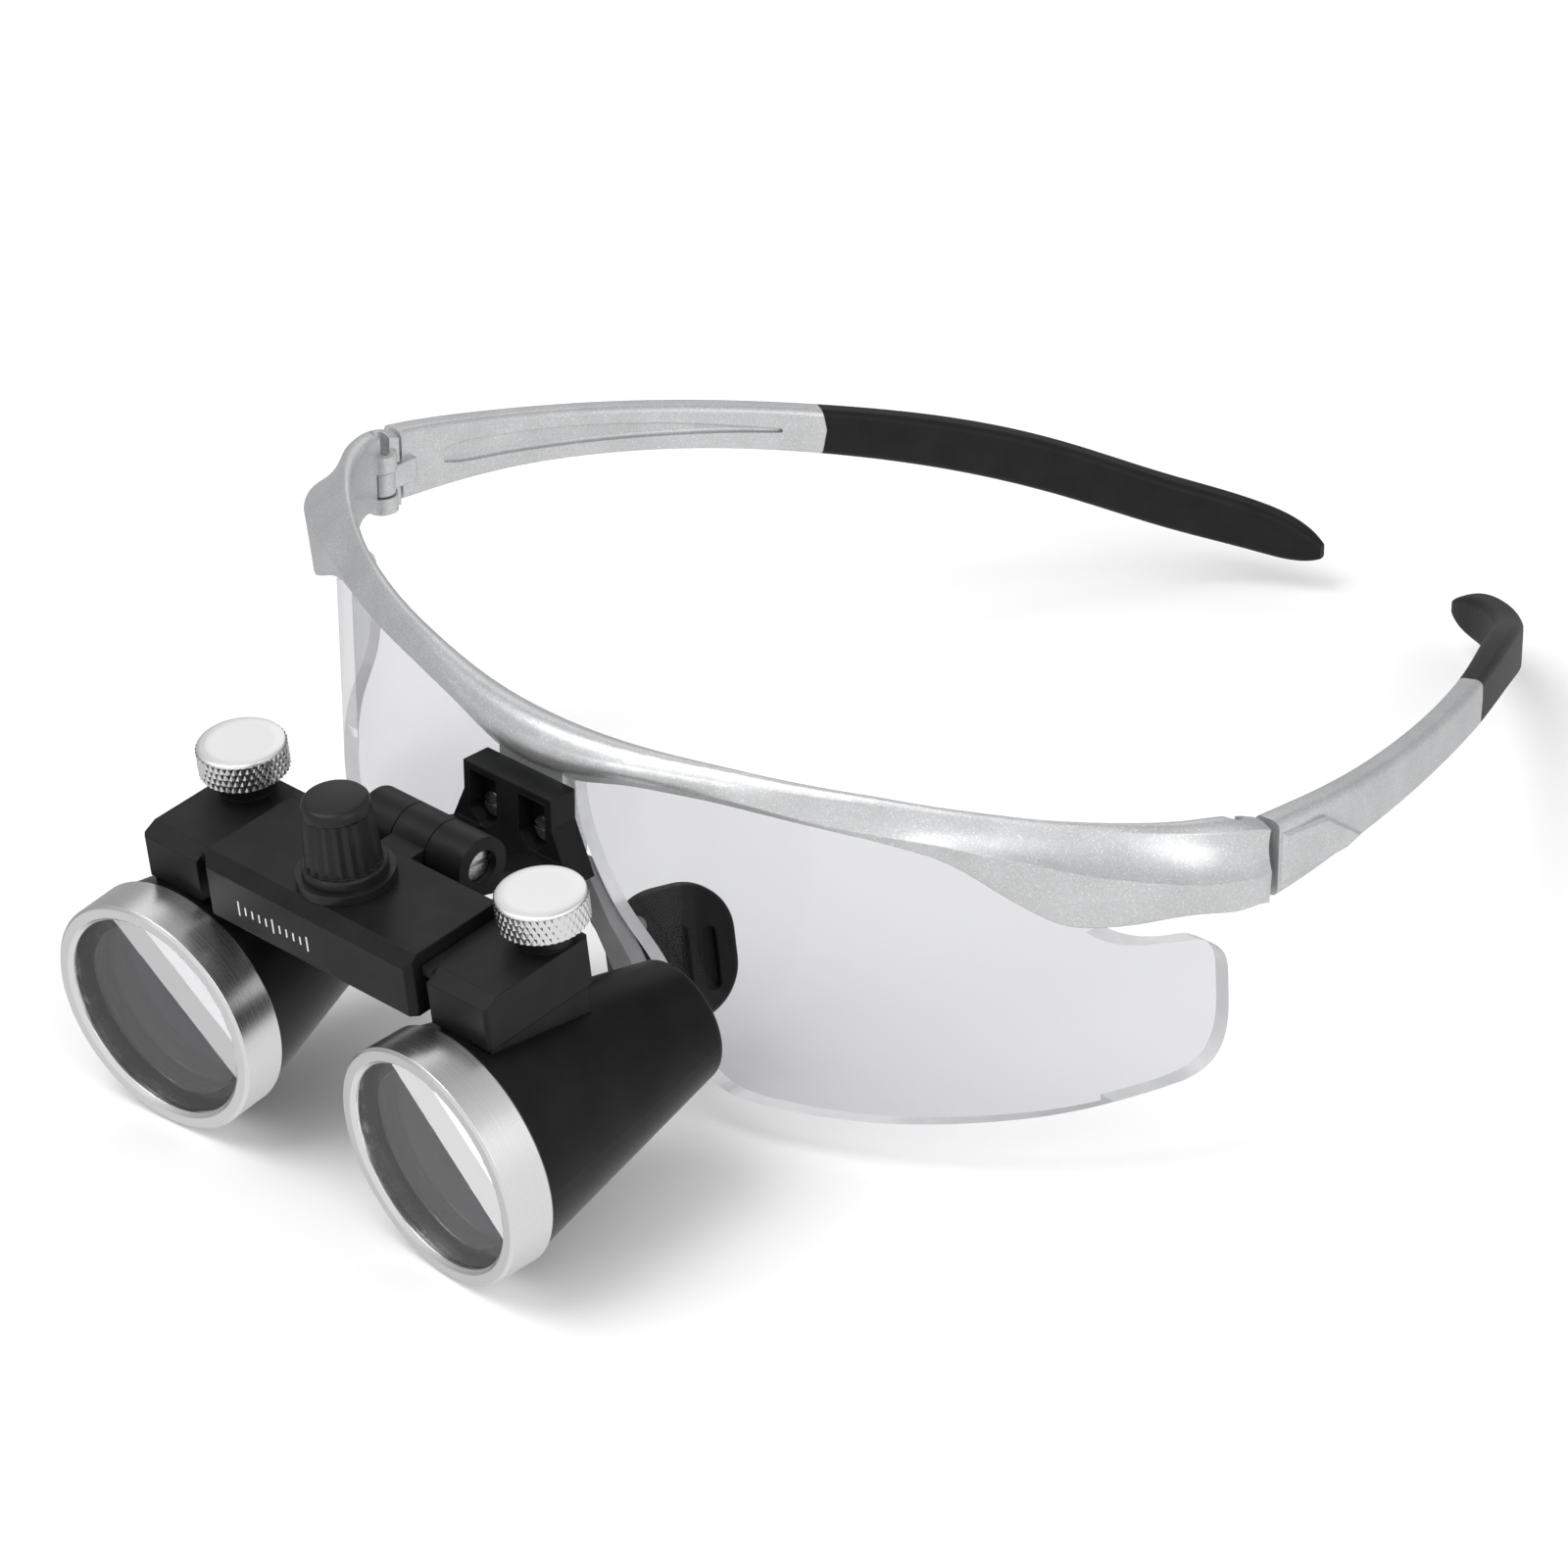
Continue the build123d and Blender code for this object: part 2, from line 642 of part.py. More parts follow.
left_arm = Pos(arm_root_inner, 0, 0) * extrude(Plane.YZ * make_face(arm_outline),
                                               amount=arm_outer - arm_root_inner)
left_arm += rod(flip_radius, arm_inner, arm_outer, pivot_y, pivot_z)
flip_bore = rod(flip_pin_radius, -arm_outer - 1.0, arm_outer + 1.0, pivot_y, pivot_z)
head_seat = arm_outer - flip_head_recess - flip_head_height
flip_head_hole = rod(flip_head_radius + head_clearance, head_seat, arm_outer + 1.0, pivot_y, pivot_z)
left_arm = left_arm - flip_head_hole
mount_bracket = mount_bracket + left_arm + mirrored(left_arm) - flip_bore

screw_seat = pocket_floor
left_screw = rod_back(bracket_screw_radius, bracket_screw_x, bracket_screw_z,
                      screw_seat, bridge_tab_rear - 0.6)
bracket_head = rod_back(bracket_screw_head, bracket_screw_x, bracket_screw_z,
                        screw_seat - bracket_head_height, screw_seat)
bracket_head -= box(bracket_screw_x - 2, bracket_screw_x + 2, screw_seat - 2,
                    screw_seat - bracket_head_height / 2, bracket_screw_z - 0.2, bracket_screw_z + 0.2)
screw_hole = rod_back(bracket_screw_radius, bracket_screw_x, bracket_screw_z,
                      bracket_front, bridge_tab_rear - 0.6)
mount_bracket = mount_bracket - screw_hole - mirrored(screw_hole)
front_frame = front_frame - screw_hole - mirrored(screw_hole)
left_screw = left_screw + bracket_head
nodes["front_frame"] = front_frame
nodes["left_lens"] = left_lens
nodes["right_lens"] = mirrored(left_lens)
nodes["mount_bracket"] = mount_bracket
nodes["bracket_screws"] = [left_screw, mirrored(left_screw)]

pin_end = arm_outer - flip_head_recess
flip_screw = rod(flip_pin_radius, -pin_end, pin_end, pivot_y, pivot_z)
flip_screw += rod(flip_head_radius, head_seat, pin_end, pivot_y, pivot_z)
flip_screw -= box(pin_end - flip_head_height / 2, pin_end + 1, pivot_y - 3, pivot_y + 3,
                  pivot_z - flip_slot_width / 2, pivot_z + flip_slot_width / 2)
flip_nut = rod(flip_head_radius, -pin_end, -head_seat, pivot_y, pivot_z) - flip_bore
nodes["flip_screw"] = flip_screw
nodes["flip_nut"] = flip_nut

# ------------------------------------------------------------------------ deck
deck = Location((0, pivot_y, pivot_z), (declination, 0, 0))

centre_block = box(-deck_half_width, deck_half_width, deck_front, deck_rear, deck_bottom, deck_top)
upper_front = centre_block.edges().filter_by(Axis.X).group_by(Axis.Z)[-1].sort_by(Axis.Y)[0]
centre_block = chamfer(upper_front, deck_chamfer)
front_corners = centre_block.edges().filter_by(Axis.Z).group_by(Axis.Y)[0]
centre_block = chamfer(front_corners, deck_corner)
lug = rod(flip_radius, -lug_half_width, lug_half_width)
lug += box(-lug_half_width, lug_half_width, deck_rear - 1.0, 0, -flip_radius, deck_top - 0.4)
centre_block = centre_block + lug - rod(flip_pin_radius + running_clearance, -20, 20)
rail_channel = box(-deck_half_width - 1, deck_half_width + 1, rail_front, rail_rear,
                   deck_bottom - 1, rail_top)
centre_block = centre_block - rail_channel

rail = box(-rail_half_length, rail_half_length, rail_front, rail_rear, rail_bottom, rail_top)
rail_end = box(slider_ledge_inner, rail_half_length, rail_front, rail_end_rear, rail_bottom, rail_top)
rail = rail + rail_end + mirrored(rail_end)
rail_middle = (rail_front + rail_rear) / 2
rail_screws = []
for x in (-rail_screw_x, rail_screw_x):
    screw = post(rail_screw_radius, rail_bottom, rail_top + rail_screw_reach, x, rail_middle)
    screw += post(rail_screw_radius + rail_screw_head_rim, deck_bottom + 0.1, rail_bottom, x, rail_middle)
    screw -= box(x - 2, x + 2, rail_middle - 0.2, rail_middle + 0.2, deck_bottom - 1, deck_bottom + 0.5)
    hole = post(rail_screw_radius, rail_bottom - 1, rail_top + rail_screw_reach, x, rail_middle)
    rail = rail - hole
    centre_block = centre_block - hole
    rail_screws.append(deck * screw)

light_hole = post(light_screw_radius + running_clearance, deck_top - light_screw_length - 0.3,
                  deck_top + 1, 0, light_y)
centre_block = centre_block - light_hole
rail = rail - post(light_screw_radius + 0.6, rail_bottom - 1, rail_top + 1, 0, light_y)

# ------------------------------------------------------------------ light knob
washer_hole = light_screw_radius + running_clearance
light_washer = post(washer_radius, deck_top, deck_top + washer_height, 0, light_y)
light_washer -= post(washer_hole, deck_top - 1, deck_top + washer_height + 1, 0, light_y)
grip_base = deck_top + washer_height
grip_low = grip_base + light_flange_height
grip_high = grip_low + light_grip_height
grip = Cone(light_base_radius, light_top_radius, light_grip_height)
grip = Pos(0, light_y, (grip_low + grip_high) / 2) * grip
grip = chamfer(grip.edges().sort_by(Axis.Z)[-1], 0.6)
light_knob = grip + post(light_flange_radius, grip_base, grip_low, 0, light_y)
light_knob += post(light_screw_radius, deck_top - light_screw_length, grip_base, 0, light_y)

# --------------------------------------------------------------- slider blocks
stud_low = rail_top + shoe_height + 0.02
knob_low = slider_top + knob_neck_height
channel_end = rail_half_length + 0.2


def telescope_place():
    """Where the left telescope sits: the middle of its front bezel face."""
    return Location((barrel_x, barrel_y - glass_recess, barrel_z), (0, 0, -toe_in))


def cone_radius(distance):
    share = (distance - bezel_length) / (barrel_length - bezel_length)
    return cone_front_radius + (cone_rear_radius - cone_front_radius) * share


cone_outline = [(0, bezel_length), (cone_front_radius, bezel_length),
                (cone_rear_radius, barrel_length), (0, barrel_length)]
cone_solid = telescope_place() * turned(cone_outline)

slider = box(slider_inner, slider_outer, slider_front, slider_rear, deck_bottom, slider_top)
outer_corners = slider.edges().filter_by(Axis.Z).group_by(Axis.X)[-1]
slider = chamfer(outer_corners, slider_corner)
front_edge = slider.edges().filter_by(Axis.X).group_by(Axis.Z)[-1].sort_by(Axis.Y)[0]
slider = chamfer(front_edge, slider_chamfer_down, slider_chamfer_back)
slider += box(slider_ledge_inner, slider_inner, slider_front + slider_chamfer_back, slider_rear,
              slider_top - slider_ledge_thickness, slider_top)
slider += post(knob_boss_radius, slider_top - 1.0, slider_top + knob_boss_height, knob_x, knob_y) & box(
    slider_inner, slider_outer, -30, slider_rear, -10, 10)
saddle = box(saddle_width_inner, saddle_width_outer, saddle_front_y, saddle_rear, barrel_z, deck_bottom)
saddle = saddle - cone_solid
saddle = saddle.solids().sort_by(Axis.Z)[-1]
slider = slider + saddle
slider -= box(slider_ledge_inner - 1, channel_end, rail_front - slide_clearance,
              rail_end_rear + slide_clearance, rail_bottom - slide_clearance, rail_top + slide_clearance)
shoe_x0 = slider_inner + 0.6
shoe_x1 = shoe_x0 + shoe_length
shoe_y0 = knob_y - shoe_width + 1.6
shoe_y1 = knob_y + 1.6
pocket_top = stud_low + clamp_pitch + 0.1
slider -= box(shoe_x0 - shoe_clearance, shoe_x1 + shoe_clearance, shoe_y0 - shoe_clearance,
              shoe_y1 + shoe_clearance, rail_top - 0.1, pocket_top)
slider -= post(knob_stud_radius + running_clearance, rail_top, slider_top + 4, knob_x, knob_y)
shoe = box(shoe_x0, shoe_x1, shoe_y0, shoe_y1, rail_top + 0.02, stud_low)

knob_top = knob_low + knob_height
knob = post(knob_radius, knob_low, knob_top, knob_x, knob_y)
knob = chamfer(knob.edges().filter_by(GeomType.CIRCLE), knob_edge)
knob += post(knob_neck_radius, slider_top + knob_boss_height + 0.1, knob_low, knob_x, knob_y)
knob += post(knob_stud_radius, stud_low, knob_low, knob_x, knob_y)

# ------------------------------------------------------------------ telescopes
bezel = turned([
    (glass_view_radius + bezel_bevel, 0), (bezel_radius - bezel_edge, 0),
    (bezel_radius, bezel_edge), (bezel_radius, bezel_length - bezel_edge),
    (bezel_radius - bezel_edge, bezel_length), (bezel_bore, bezel_length),
    (bezel_bore, glass_recess), (glass_view_radius, glass_recess),
    (glass_view_radius, bezel_bevel),
])
glass_back = glass_recess + cover_glass_thickness
cover_glass = turned([(0, glass_recess), (bezel_bore, glass_recess),
                      (bezel_bore, glass_back), (0, glass_back)])
ring_back = glass_back + objective_ring_length
bore = objective_radius + objective_bore_clearance
crown_rim = ring_back + objective_front_bulge * (1 - (objective_ring_inner / objective_radius) ** 2)
crown_back = crown_rim + crown_center
flint_back = crown_back + flint_center
objective_ring = turned([(objective_ring_inner, glass_back), (bore, glass_back),
                         (bore, ring_back), (objective_ring_inner, ring_back)])


def half_sag(radius, bulge):
    """How far a spherical cap has dropped from its pole, half way out."""
    sphere = (radius ** 2 + bulge ** 2) / (2 * abs(bulge))
    drop = sphere - math.sqrt(sphere ** 2 - radius ** 2 / 4)
    return math.copysign(drop, bulge)


def lens_profile(front, back, front_bulge, back_bulge, radius):
    """A lens turned about Y: rim places, and how far each face bulges (+) or dips (-)."""
    front_rim = (radius, front)
    back_rim = (radius, back)
    front_pole = (0, front - front_bulge)
    back_pole = (0, back + back_bulge)
    front_half = (radius / 2, front - front_bulge + half_sag(radius, front_bulge))
    back_half = (radius / 2, back + back_bulge - half_sag(radius, back_bulge))
    outline = [
        Line(back_pole, front_pole),
        ThreePointArc(front_pole, front_half, front_rim),
        Line(front_rim, back_rim),
        ThreePointArc(back_rim, back_half, back_pole),
    ]
    return revolve(make_face(outline), Axis.Y)


joint_rim = crown_back - objective_joint_bulge
objective_crown = lens_profile(crown_rim, joint_rim, objective_front_bulge,
                               objective_joint_bulge, objective_radius)
objective_flint = lens_profile(joint_rim, flint_back, -objective_joint_bulge,
                               objective_back_bulge, objective_radius)
barrel = turned([
    (bezel_bore, glass_back), (bezel_bore, bezel_length), (cone_front_radius, bezel_length),
    (cone_rear_radius, barrel_length), (eyepiece_seat, barrel_length),
    (eyepiece_seat, barrel_length - eyepiece_lip), (eyepiece_bore, barrel_length - eyepiece_lip),
    (eyepiece_bore, cavity_rear), (cavity_rear_radius, cavity_rear),
    (objective_seat, flint_back), (bore, flint_back), (bore, glass_back),
])
rear_rim = barrel.edges().filter_by(GeomType.CIRCLE).sort_by(Axis.Y)
rear_rim = [e for e in rear_rim if abs(e.radius - cone_rear_radius) < 1e-6][-1]
barrel = fillet(rear_rim, barrel_rear_round)
eyepiece_back = barrel_length - eyepiece_lip
eyepiece_lens = lens_profile(eyepiece_back - eyepiece_thickness - 0.6, eyepiece_back - 0.2, -0.9, -0.7,
                             eyepiece_bore - 0.05)
ring_end = eyepiece_back - eyepiece_thickness - 0.6
eyepiece_ring = turned([(eyepiece_ring_inner, ring_end - eyepiece_ring_length),
                        (eyepiece_bore, ring_end - eyepiece_ring_length),
                        (eyepiece_bore, ring_end), (eyepiece_ring_inner, ring_end)])

optics = {
    "barrel": barrel,
    "bezel": bezel,
    "cover_glass": cover_glass,
    "objective_ring": objective_ring,
    "objective_crown": objective_crown,
    "objective_flint": objective_flint,
    "eyepiece_lens": eyepiece_lens,
    "eyepiece_ring": eyepiece_ring,
}
for name, shape in optics.items():
    left = deck * (telescope_place() * shape)
    nodes["left_" + name] = left
    nodes["right_" + name] = mirrored(left)
for name, shape in (("slider_block", slider), ("clamp_shoe", shoe), ("clamp_knob", knob)):
    left = deck * shape
    nodes["left_" + name] = left
    nodes["right_" + name] = mirrored(left)
nodes["centre_block"] = deck * centre_block
nodes["rail"] = deck * rail
nodes["rail_screws"] = rail_screws
nodes["light_washer"] = deck * light_washer
nodes["light_knob"] = deck * light_knob

# --------------------------------------------------------- origin and writing
flat = []
for shape in nodes.values():
    flat += shape if isinstance(shape, list) else [shape]
bounds = Compound(children=[s for p in flat for s in p.solids()]).bounding_box()
shift = Pos(0, -(bounds.min.Y + bounds.max.Y) / 2, -bounds.min.Z)
for name, shape in nodes.items():
    if isinstance(shape, list):
        solids = [s for piece in shape for s in (shift * piece).solids()]
    else:
        solids = (shift * shape).solids()
    if len(solids) == 1:
        export_step(solids[0], "parts/" + name + ".step")
    else:
        export_step(Compound(children=solids), "parts/" + name + ".step")


def told(label, point):
    place = shift * Pos(*point)
    print(label, [round(v, 4) for v in place.position])


told("hinge axis", (hinge_x, hinge_axis_y, 0))
told("flip axis", (0, pivot_y, pivot_z))
told("clamp knob", (deck * Pos(knob_x, knob_y, knob_top)).position)
told("light knob", (deck * Pos(0, light_y, grip_high)).position)
told("left bezel face", (deck * telescope_place()).position)
print("deck up", [round(v, 6) for v in Vector(0, -math.sin(math.radians(declination)),
                                              math.cos(math.radians(declination)))])
print("shift", shift.position)
print("size", bounds.size)
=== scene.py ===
# %% [markdown]
# # Dental loupes: from a CAD frame to a finished picture
#
# The loupes are a silver sports frame with two clear side lenses. A black
# bracket under the bridge carries a flip-up deck, and the deck carries two
# short telescopes on slides. The CAD model already has every piece in its
# place, in metres. This notebook gives each piece its finish, and adds what
# is too fine for CAD: knurls, flutes, baffles and scale marks.

# %% Load the frame
import bpy
import bmesh
import json
import math
from mathutils import Matrix, Vector


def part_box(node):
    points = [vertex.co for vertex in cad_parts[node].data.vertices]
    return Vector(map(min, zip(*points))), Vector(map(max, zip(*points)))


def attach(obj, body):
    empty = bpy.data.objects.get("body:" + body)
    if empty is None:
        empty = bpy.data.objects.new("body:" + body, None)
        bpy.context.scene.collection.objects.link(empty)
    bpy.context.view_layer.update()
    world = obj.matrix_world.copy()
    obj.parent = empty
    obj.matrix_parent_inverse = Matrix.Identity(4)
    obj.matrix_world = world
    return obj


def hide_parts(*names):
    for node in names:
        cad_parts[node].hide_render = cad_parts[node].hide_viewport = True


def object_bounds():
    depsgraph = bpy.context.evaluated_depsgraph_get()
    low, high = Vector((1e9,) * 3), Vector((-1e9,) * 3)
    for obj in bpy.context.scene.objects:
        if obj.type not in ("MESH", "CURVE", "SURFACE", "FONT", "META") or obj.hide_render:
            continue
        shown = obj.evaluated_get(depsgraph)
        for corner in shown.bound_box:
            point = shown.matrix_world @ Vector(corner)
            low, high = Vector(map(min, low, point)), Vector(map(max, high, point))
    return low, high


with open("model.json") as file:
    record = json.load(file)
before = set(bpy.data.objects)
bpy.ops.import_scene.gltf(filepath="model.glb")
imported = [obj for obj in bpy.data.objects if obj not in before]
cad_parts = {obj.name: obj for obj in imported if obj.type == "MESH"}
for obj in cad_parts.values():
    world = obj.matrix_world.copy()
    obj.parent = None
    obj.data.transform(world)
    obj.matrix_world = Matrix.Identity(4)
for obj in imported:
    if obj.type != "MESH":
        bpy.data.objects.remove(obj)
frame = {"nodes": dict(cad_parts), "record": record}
cad_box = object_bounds()
record = frame["record"]
joints = {joint["name"]: joint for joint in record["behaviour"]["joints"]}
MM = 0.001
print("nodes:", len(frame["nodes"]), "box:", cad_box)

# %% [markdown]
# ## Camera
#
# The loupes are seen from the front left and from above, through a long lens,
# so that the far temple is almost as large as the near one. A long lens is a
# small field of view: 146 mm on a 36 mm sensor, from three quarters of a
# metre. The camera's turn is built from its azimuth, elevation and roll.

# %% The camera
AZIMUTH = math.radians(44.22)
ELEVATION = math.radians(29.36)
ROLL = math.radians(-0.33)
CAMERA_AT = Vector((0.46677, -0.49623, 0.39831))
right = Vector((math.cos(AZIMUTH), math.sin(AZIMUTH), 0))
back = Vector((math.sin(AZIMUTH) * math.cos(ELEVATION),
               -math.cos(AZIMUTH) * math.cos(ELEVATION), math.sin(ELEVATION)))
up = back.cross(right)
across = right * math.cos(ROLL) + up * math.sin(ROLL)
upright = up * math.cos(ROLL) - right * math.sin(ROLL)
camera = bpy.data.objects.new("camera", bpy.data.cameras.new("camera"))
camera.data.lens = 146.0
camera.data.sensor_width = 36.0
camera.data.clip_start = 0.02
turn = Matrix((across, upright, back)).transposed().to_4x4()
camera.matrix_world = Matrix.Translation(CAMERA_AT) @ turn
bpy.context.collection.objects.link(camera)
scene = bpy.context.scene
scene.camera = camera
scene.view_settings.view_transform = "Standard"
print("camera looks along", tuple(round(c, 3) for c in -back))

# %% [markdown]
# ## Floor and light
#
# The studio is white all round: a pale floor, a bright world and three soft
# boxes. Polished metal shows what stands around it, so the world also has a
# dark side, which gives the bezels their dark bands. The flat front glasses
# look down and forward, below the floor's level, so two cards of light lie
# there, one for each glass, seen only by its reflection. A card's straight
# edge is the line across its glass. The floor is hidden from reflections to
# let them show.

# %% The floor
floor_mesh = bpy.data.meshes.new("floor")
FLOOR_HALF = 3.0
floor_mesh.from_pydata([(-FLOOR_HALF, -FLOOR_HALF, 0), (FLOOR_HALF, -FLOOR_HALF, 0),
                        (FLOOR_HALF, FLOOR_HALF, 0), (-FLOOR_HALF, FLOOR_HALF, 0)],
                       [], [(0, 1, 2, 3)])
floor = bpy.data.objects.new("floor", floor_mesh)
floor.location.z = cad_box[0][2] - 0.0002
bpy.context.collection.objects.link(floor)
floor.visible_glossy = False

# %% The world
world = bpy.data.worlds.new("studio")
scene.world = world
world.use_nodes = True
sky = world.node_tree
sky.nodes.clear()
sky_out = sky.nodes.new("ShaderNodeOutputWorld")
sky_light = sky.nodes.new("ShaderNodeBackground")
sky_light.inputs["Strength"].default_value = 1.08
sky_place = sky.nodes.new("ShaderNodeTexCoord")
sky_split = sky.nodes.new("ShaderNodeVectorMath")
sky_split.operation = "DOT_PRODUCT"
sky_split.inputs[1].default_value = Vector((-0.55, 0.35, 0.30)).normalized()
sky_ramp = sky.nodes.new("ShaderNodeValToRGB")
sky_ramp.color_ramp.elements[0].position = 0.30
sky_ramp.color_ramp.elements[0].color = (1.0, 1.0, 1.0, 1)
sky_ramp.color_ramp.elements[1].position = 0.86
sky_ramp.color_ramp.elements[1].color = (0.42, 0.42, 0.43, 1)
sky_shift = sky.nodes.new("ShaderNodeMapRange")
sky_shift.inputs["From Min"].default_value = -1.0
sky.links.new(sky_place.outputs["Generated"], sky_split.inputs[0])
sky.links.new(sky_split.outputs["Value"], sky_shift.inputs["Value"])
sky.links.new(sky_shift.outputs["Result"], sky_ramp.inputs["Fac"])
sky.links.new(sky_ramp.outputs["Color"], sky_light.inputs["Color"])
sky.links.new(sky_light.outputs["Background"], sky_out.inputs["Surface"])
print("world ready")


# %% The lights
def soft_box(name, at, target, size, power, glossy_only=False):
    """A rectangular light that faces a target."""
    data = bpy.data.lights.new(name, "AREA")
    data.shape = "RECTANGLE"
    data.size, data.size_y = size
    data.energy = power
    light = bpy.data.objects.new(name, data)
    light.location = at
    aim = Vector(target) - Vector(at)
    light.rotation_euler = aim.to_track_quat("-Z", "Y").to_euler()
    if glossy_only:
        light.visible_diffuse = False
        light.visible_transmission = False
        light.visible_volume_scatter = False
    bpy.context.collection.objects.link(light)
    return light


soft_box("key", (-0.35, -0.55, 1.1), (0, -0.02, 0.03), (0.9, 0.9), 9.0)
soft_box("fill", (1.0, -0.2, 0.6), (0, -0.03, 0.03), (0.7, 0.7), 3.0)
soft_box("rear", (-0.75, 0.72, 0.85), (0, 0, 0.03), (0.8, 0.8), 1.5)

# Two cards lie below the floor, one for each telescope's glass. Their near
# edges meet under the deck, and each is turned to its own glass.
CARD_SIZE = 0.5
CARD_RADIANCE = 6.0
CARD_JOINT = Vector((-0.046, -0.1265, -0.030))
glass_light = bpy.data.collections.new("glass_light")
for name, degrees, way in (("right_glass_card", 27.0, -1), ("left_glass_card", 13.9, 1)):
    angle = math.radians(degrees)
    edge_way = Vector((math.cos(angle), math.sin(angle), 0))
    forward_way = Vector((math.sin(angle), -math.cos(angle), 0))
    middle = CARD_JOINT + (forward_way + edge_way * way) * CARD_SIZE / 2
    card = soft_box(name, middle, middle + Vector((0, 0, 1)), (CARD_SIZE, CARD_SIZE),
                    CARD_RADIANCE * math.pi * CARD_SIZE ** 2, glossy_only=True)
    turned = Matrix((edge_way, -forward_way, Vector((0, 0, -1)))).transposed()
    card.rotation_euler = turned.to_euler()
    card.light_linking.receiver_collection = glass_light
for side in ("left", "right"):
    glass_light.objects.link(frame["nodes"][side + "_cover_glass"])

# %% [markdown]
# ## Materials
#
# Each finish is a small node tree on Object coordinates, so a pattern stays
# on its piece. Three helpers keep the trees short: one starts a material with
# its fixed values, one adds a noise, and one turns a height into a bump. The
# bump's normal comes through a Bevel node where a CAD edge needs a fine
# rounding that catches the light.


# %% Helpers for materials
def finish(name, colour, metallic, roughness, coat=0.0, coat_roughness=0.1, ior=1.45):
    """A material with its fixed values set on the shader."""
    material = bpy.data.materials.new(name)
    material.use_nodes = True
    shader = material.node_tree.nodes["Principled BSDF"]
    shader.inputs["Base Color"].default_value = (*colour, 1)
    shader.inputs["Metallic"].default_value = metallic
    shader.inputs["Roughness"].default_value = roughness
    shader.inputs["Coat Weight"].default_value = coat
    shader.inputs["Coat Roughness"].default_value = coat_roughness
    shader.inputs["IOR"].default_value = ior
    return material, material.node_tree, shader


def object_place(tree, stretch=(1, 1, 1)):
    """Object coordinates, stretched along the axes."""
    place = tree.nodes.new("ShaderNodeTexCoord")
    mapping = tree.nodes.new("ShaderNodeMapping")
    mapping.inputs["Scale"].default_value = stretch
    tree.links.new(place.outputs["Object"], mapping.inputs["Vector"])
    return mapping.outputs["Vector"]


def noise(tree, scale, detail=3.0, place=None, roughness=0.5):
    """A noise texture's value; scale is in waves per metre."""
    node = tree.nodes.new("ShaderNodeTexNoise")
    node.inputs["Scale"].default_value = scale
    node.inputs["Detail"].default_value = detail
    node.inputs["Roughness"].default_value = roughness
    tree.links.new(place or object_place(tree), node.inputs["Vector"])
    return node.outputs["Fac"]


def ramp(tree, value, stops):
    """Colours along a value."""
    node = tree.nodes.new("ShaderNodeValToRGB")
    elements = node.color_ramp.elements
    while len(elements) < len(stops):
        elements.new(0.5)
    for element, (position, colour) in zip(elements, stops):
        element.position = position
        element.color = (*colour, 1)
    tree.links.new(value, node.inputs["Fac"])
    return node.outputs["Color"]


def spread(tree, value, low, high, from_low=0.0, from_high=1.0):
    """A value moved to a new range."""
    node = tree.nodes.new("ShaderNodeMapRange")
    node.inputs["From Min"].default_value = from_low
    node.inputs["From Max"].default_value = from_high
    node.inputs["To Min"].default_value = low
    node.inputs["To Max"].default_value = high
    tree.links.new(value, node.inputs["Value"])
    return node.outputs["Result"]


def bump(tree, shader, height, distance, strength=1.0, edge=0.0):
    """Sets the shader's normal from a height, over rounded edges."""
    node = tree.nodes.new("ShaderNodeBump")
    node.inputs["Distance"].default_value = distance
    node.inputs["Strength"].default_value = strength
    tree.links.new(height, node.inputs["Height"])
    if edge:
        bevel = tree.nodes.new("ShaderNodeBevel")
        bevel.samples = 4
        bevel.inputs["Radius"].default_value = edge
        tree.links.new(bevel.outputs["Normal"], node.inputs["Normal"])
    tree.links.new(node.outputs["Normal"], shader.inputs["Normal"])


# %% [markdown]
# ### Silver frame
#
# The frame and temples are moulded plastic, sprayed with silver paint. Such
# paint is a grey metal with fine flakes in it: single bright and dark grains
# about a tenth of a millimetre wide, more of them where the coat is thick.
# A Voronoi texture gives each grain its own value, and a slow noise clouds it.

# %% Silver paint
silver_paint, tree, shader = finish("silver_paint", (0.53, 0.535, 0.54), 0.72, 0.34,
                                    coat=0.25, coat_roughness=0.22)
grains = tree.nodes.new("ShaderNodeTexVoronoi")
grains.inputs["Scale"].default_value = 7500.0
tree.links.new(object_place(tree), grains.inputs["Vector"])
grain_value = tree.nodes.new("ShaderNodeSeparateColor")
tree.links.new(grains.outputs["Color"], grain_value.inputs["Color"])
cloud = noise(tree, 160.0, 2.0)
flake_colour = ramp(tree, grain_value.outputs[0], [
    (0.00, (0.47, 0.475, 0.48)), (0.45, (0.53, 0.535, 0.54)),
    (0.90, (0.56, 0.565, 0.57)), (0.985, (0.70, 0.70, 0.70))])
cloud_mix = tree.nodes.new("ShaderNodeMix")
cloud_mix.data_type = "RGBA"
cloud_mix.blend_type = "MULTIPLY"
cloud_mix.inputs["Factor"].default_value = 1.0
tree.links.new(flake_colour, cloud_mix.inputs["A"])
tree.links.new(ramp(tree, cloud, [(0.3, (0.93, 0.93, 0.93)), (0.7, (1.05, 1.05, 1.05))]),
               cloud_mix.inputs["B"])
tree.links.new(cloud_mix.outputs["Result"], shader.inputs["Base Color"])
tree.links.new(spread(tree, grain_value.outputs[1], 0.32, 0.42), shader.inputs["Roughness"])
bump(tree, shader, grain_value.outputs[2], 0.000003, 0.25, edge=0.00022)
print("silver paint:", len(tree.nodes), "nodes")

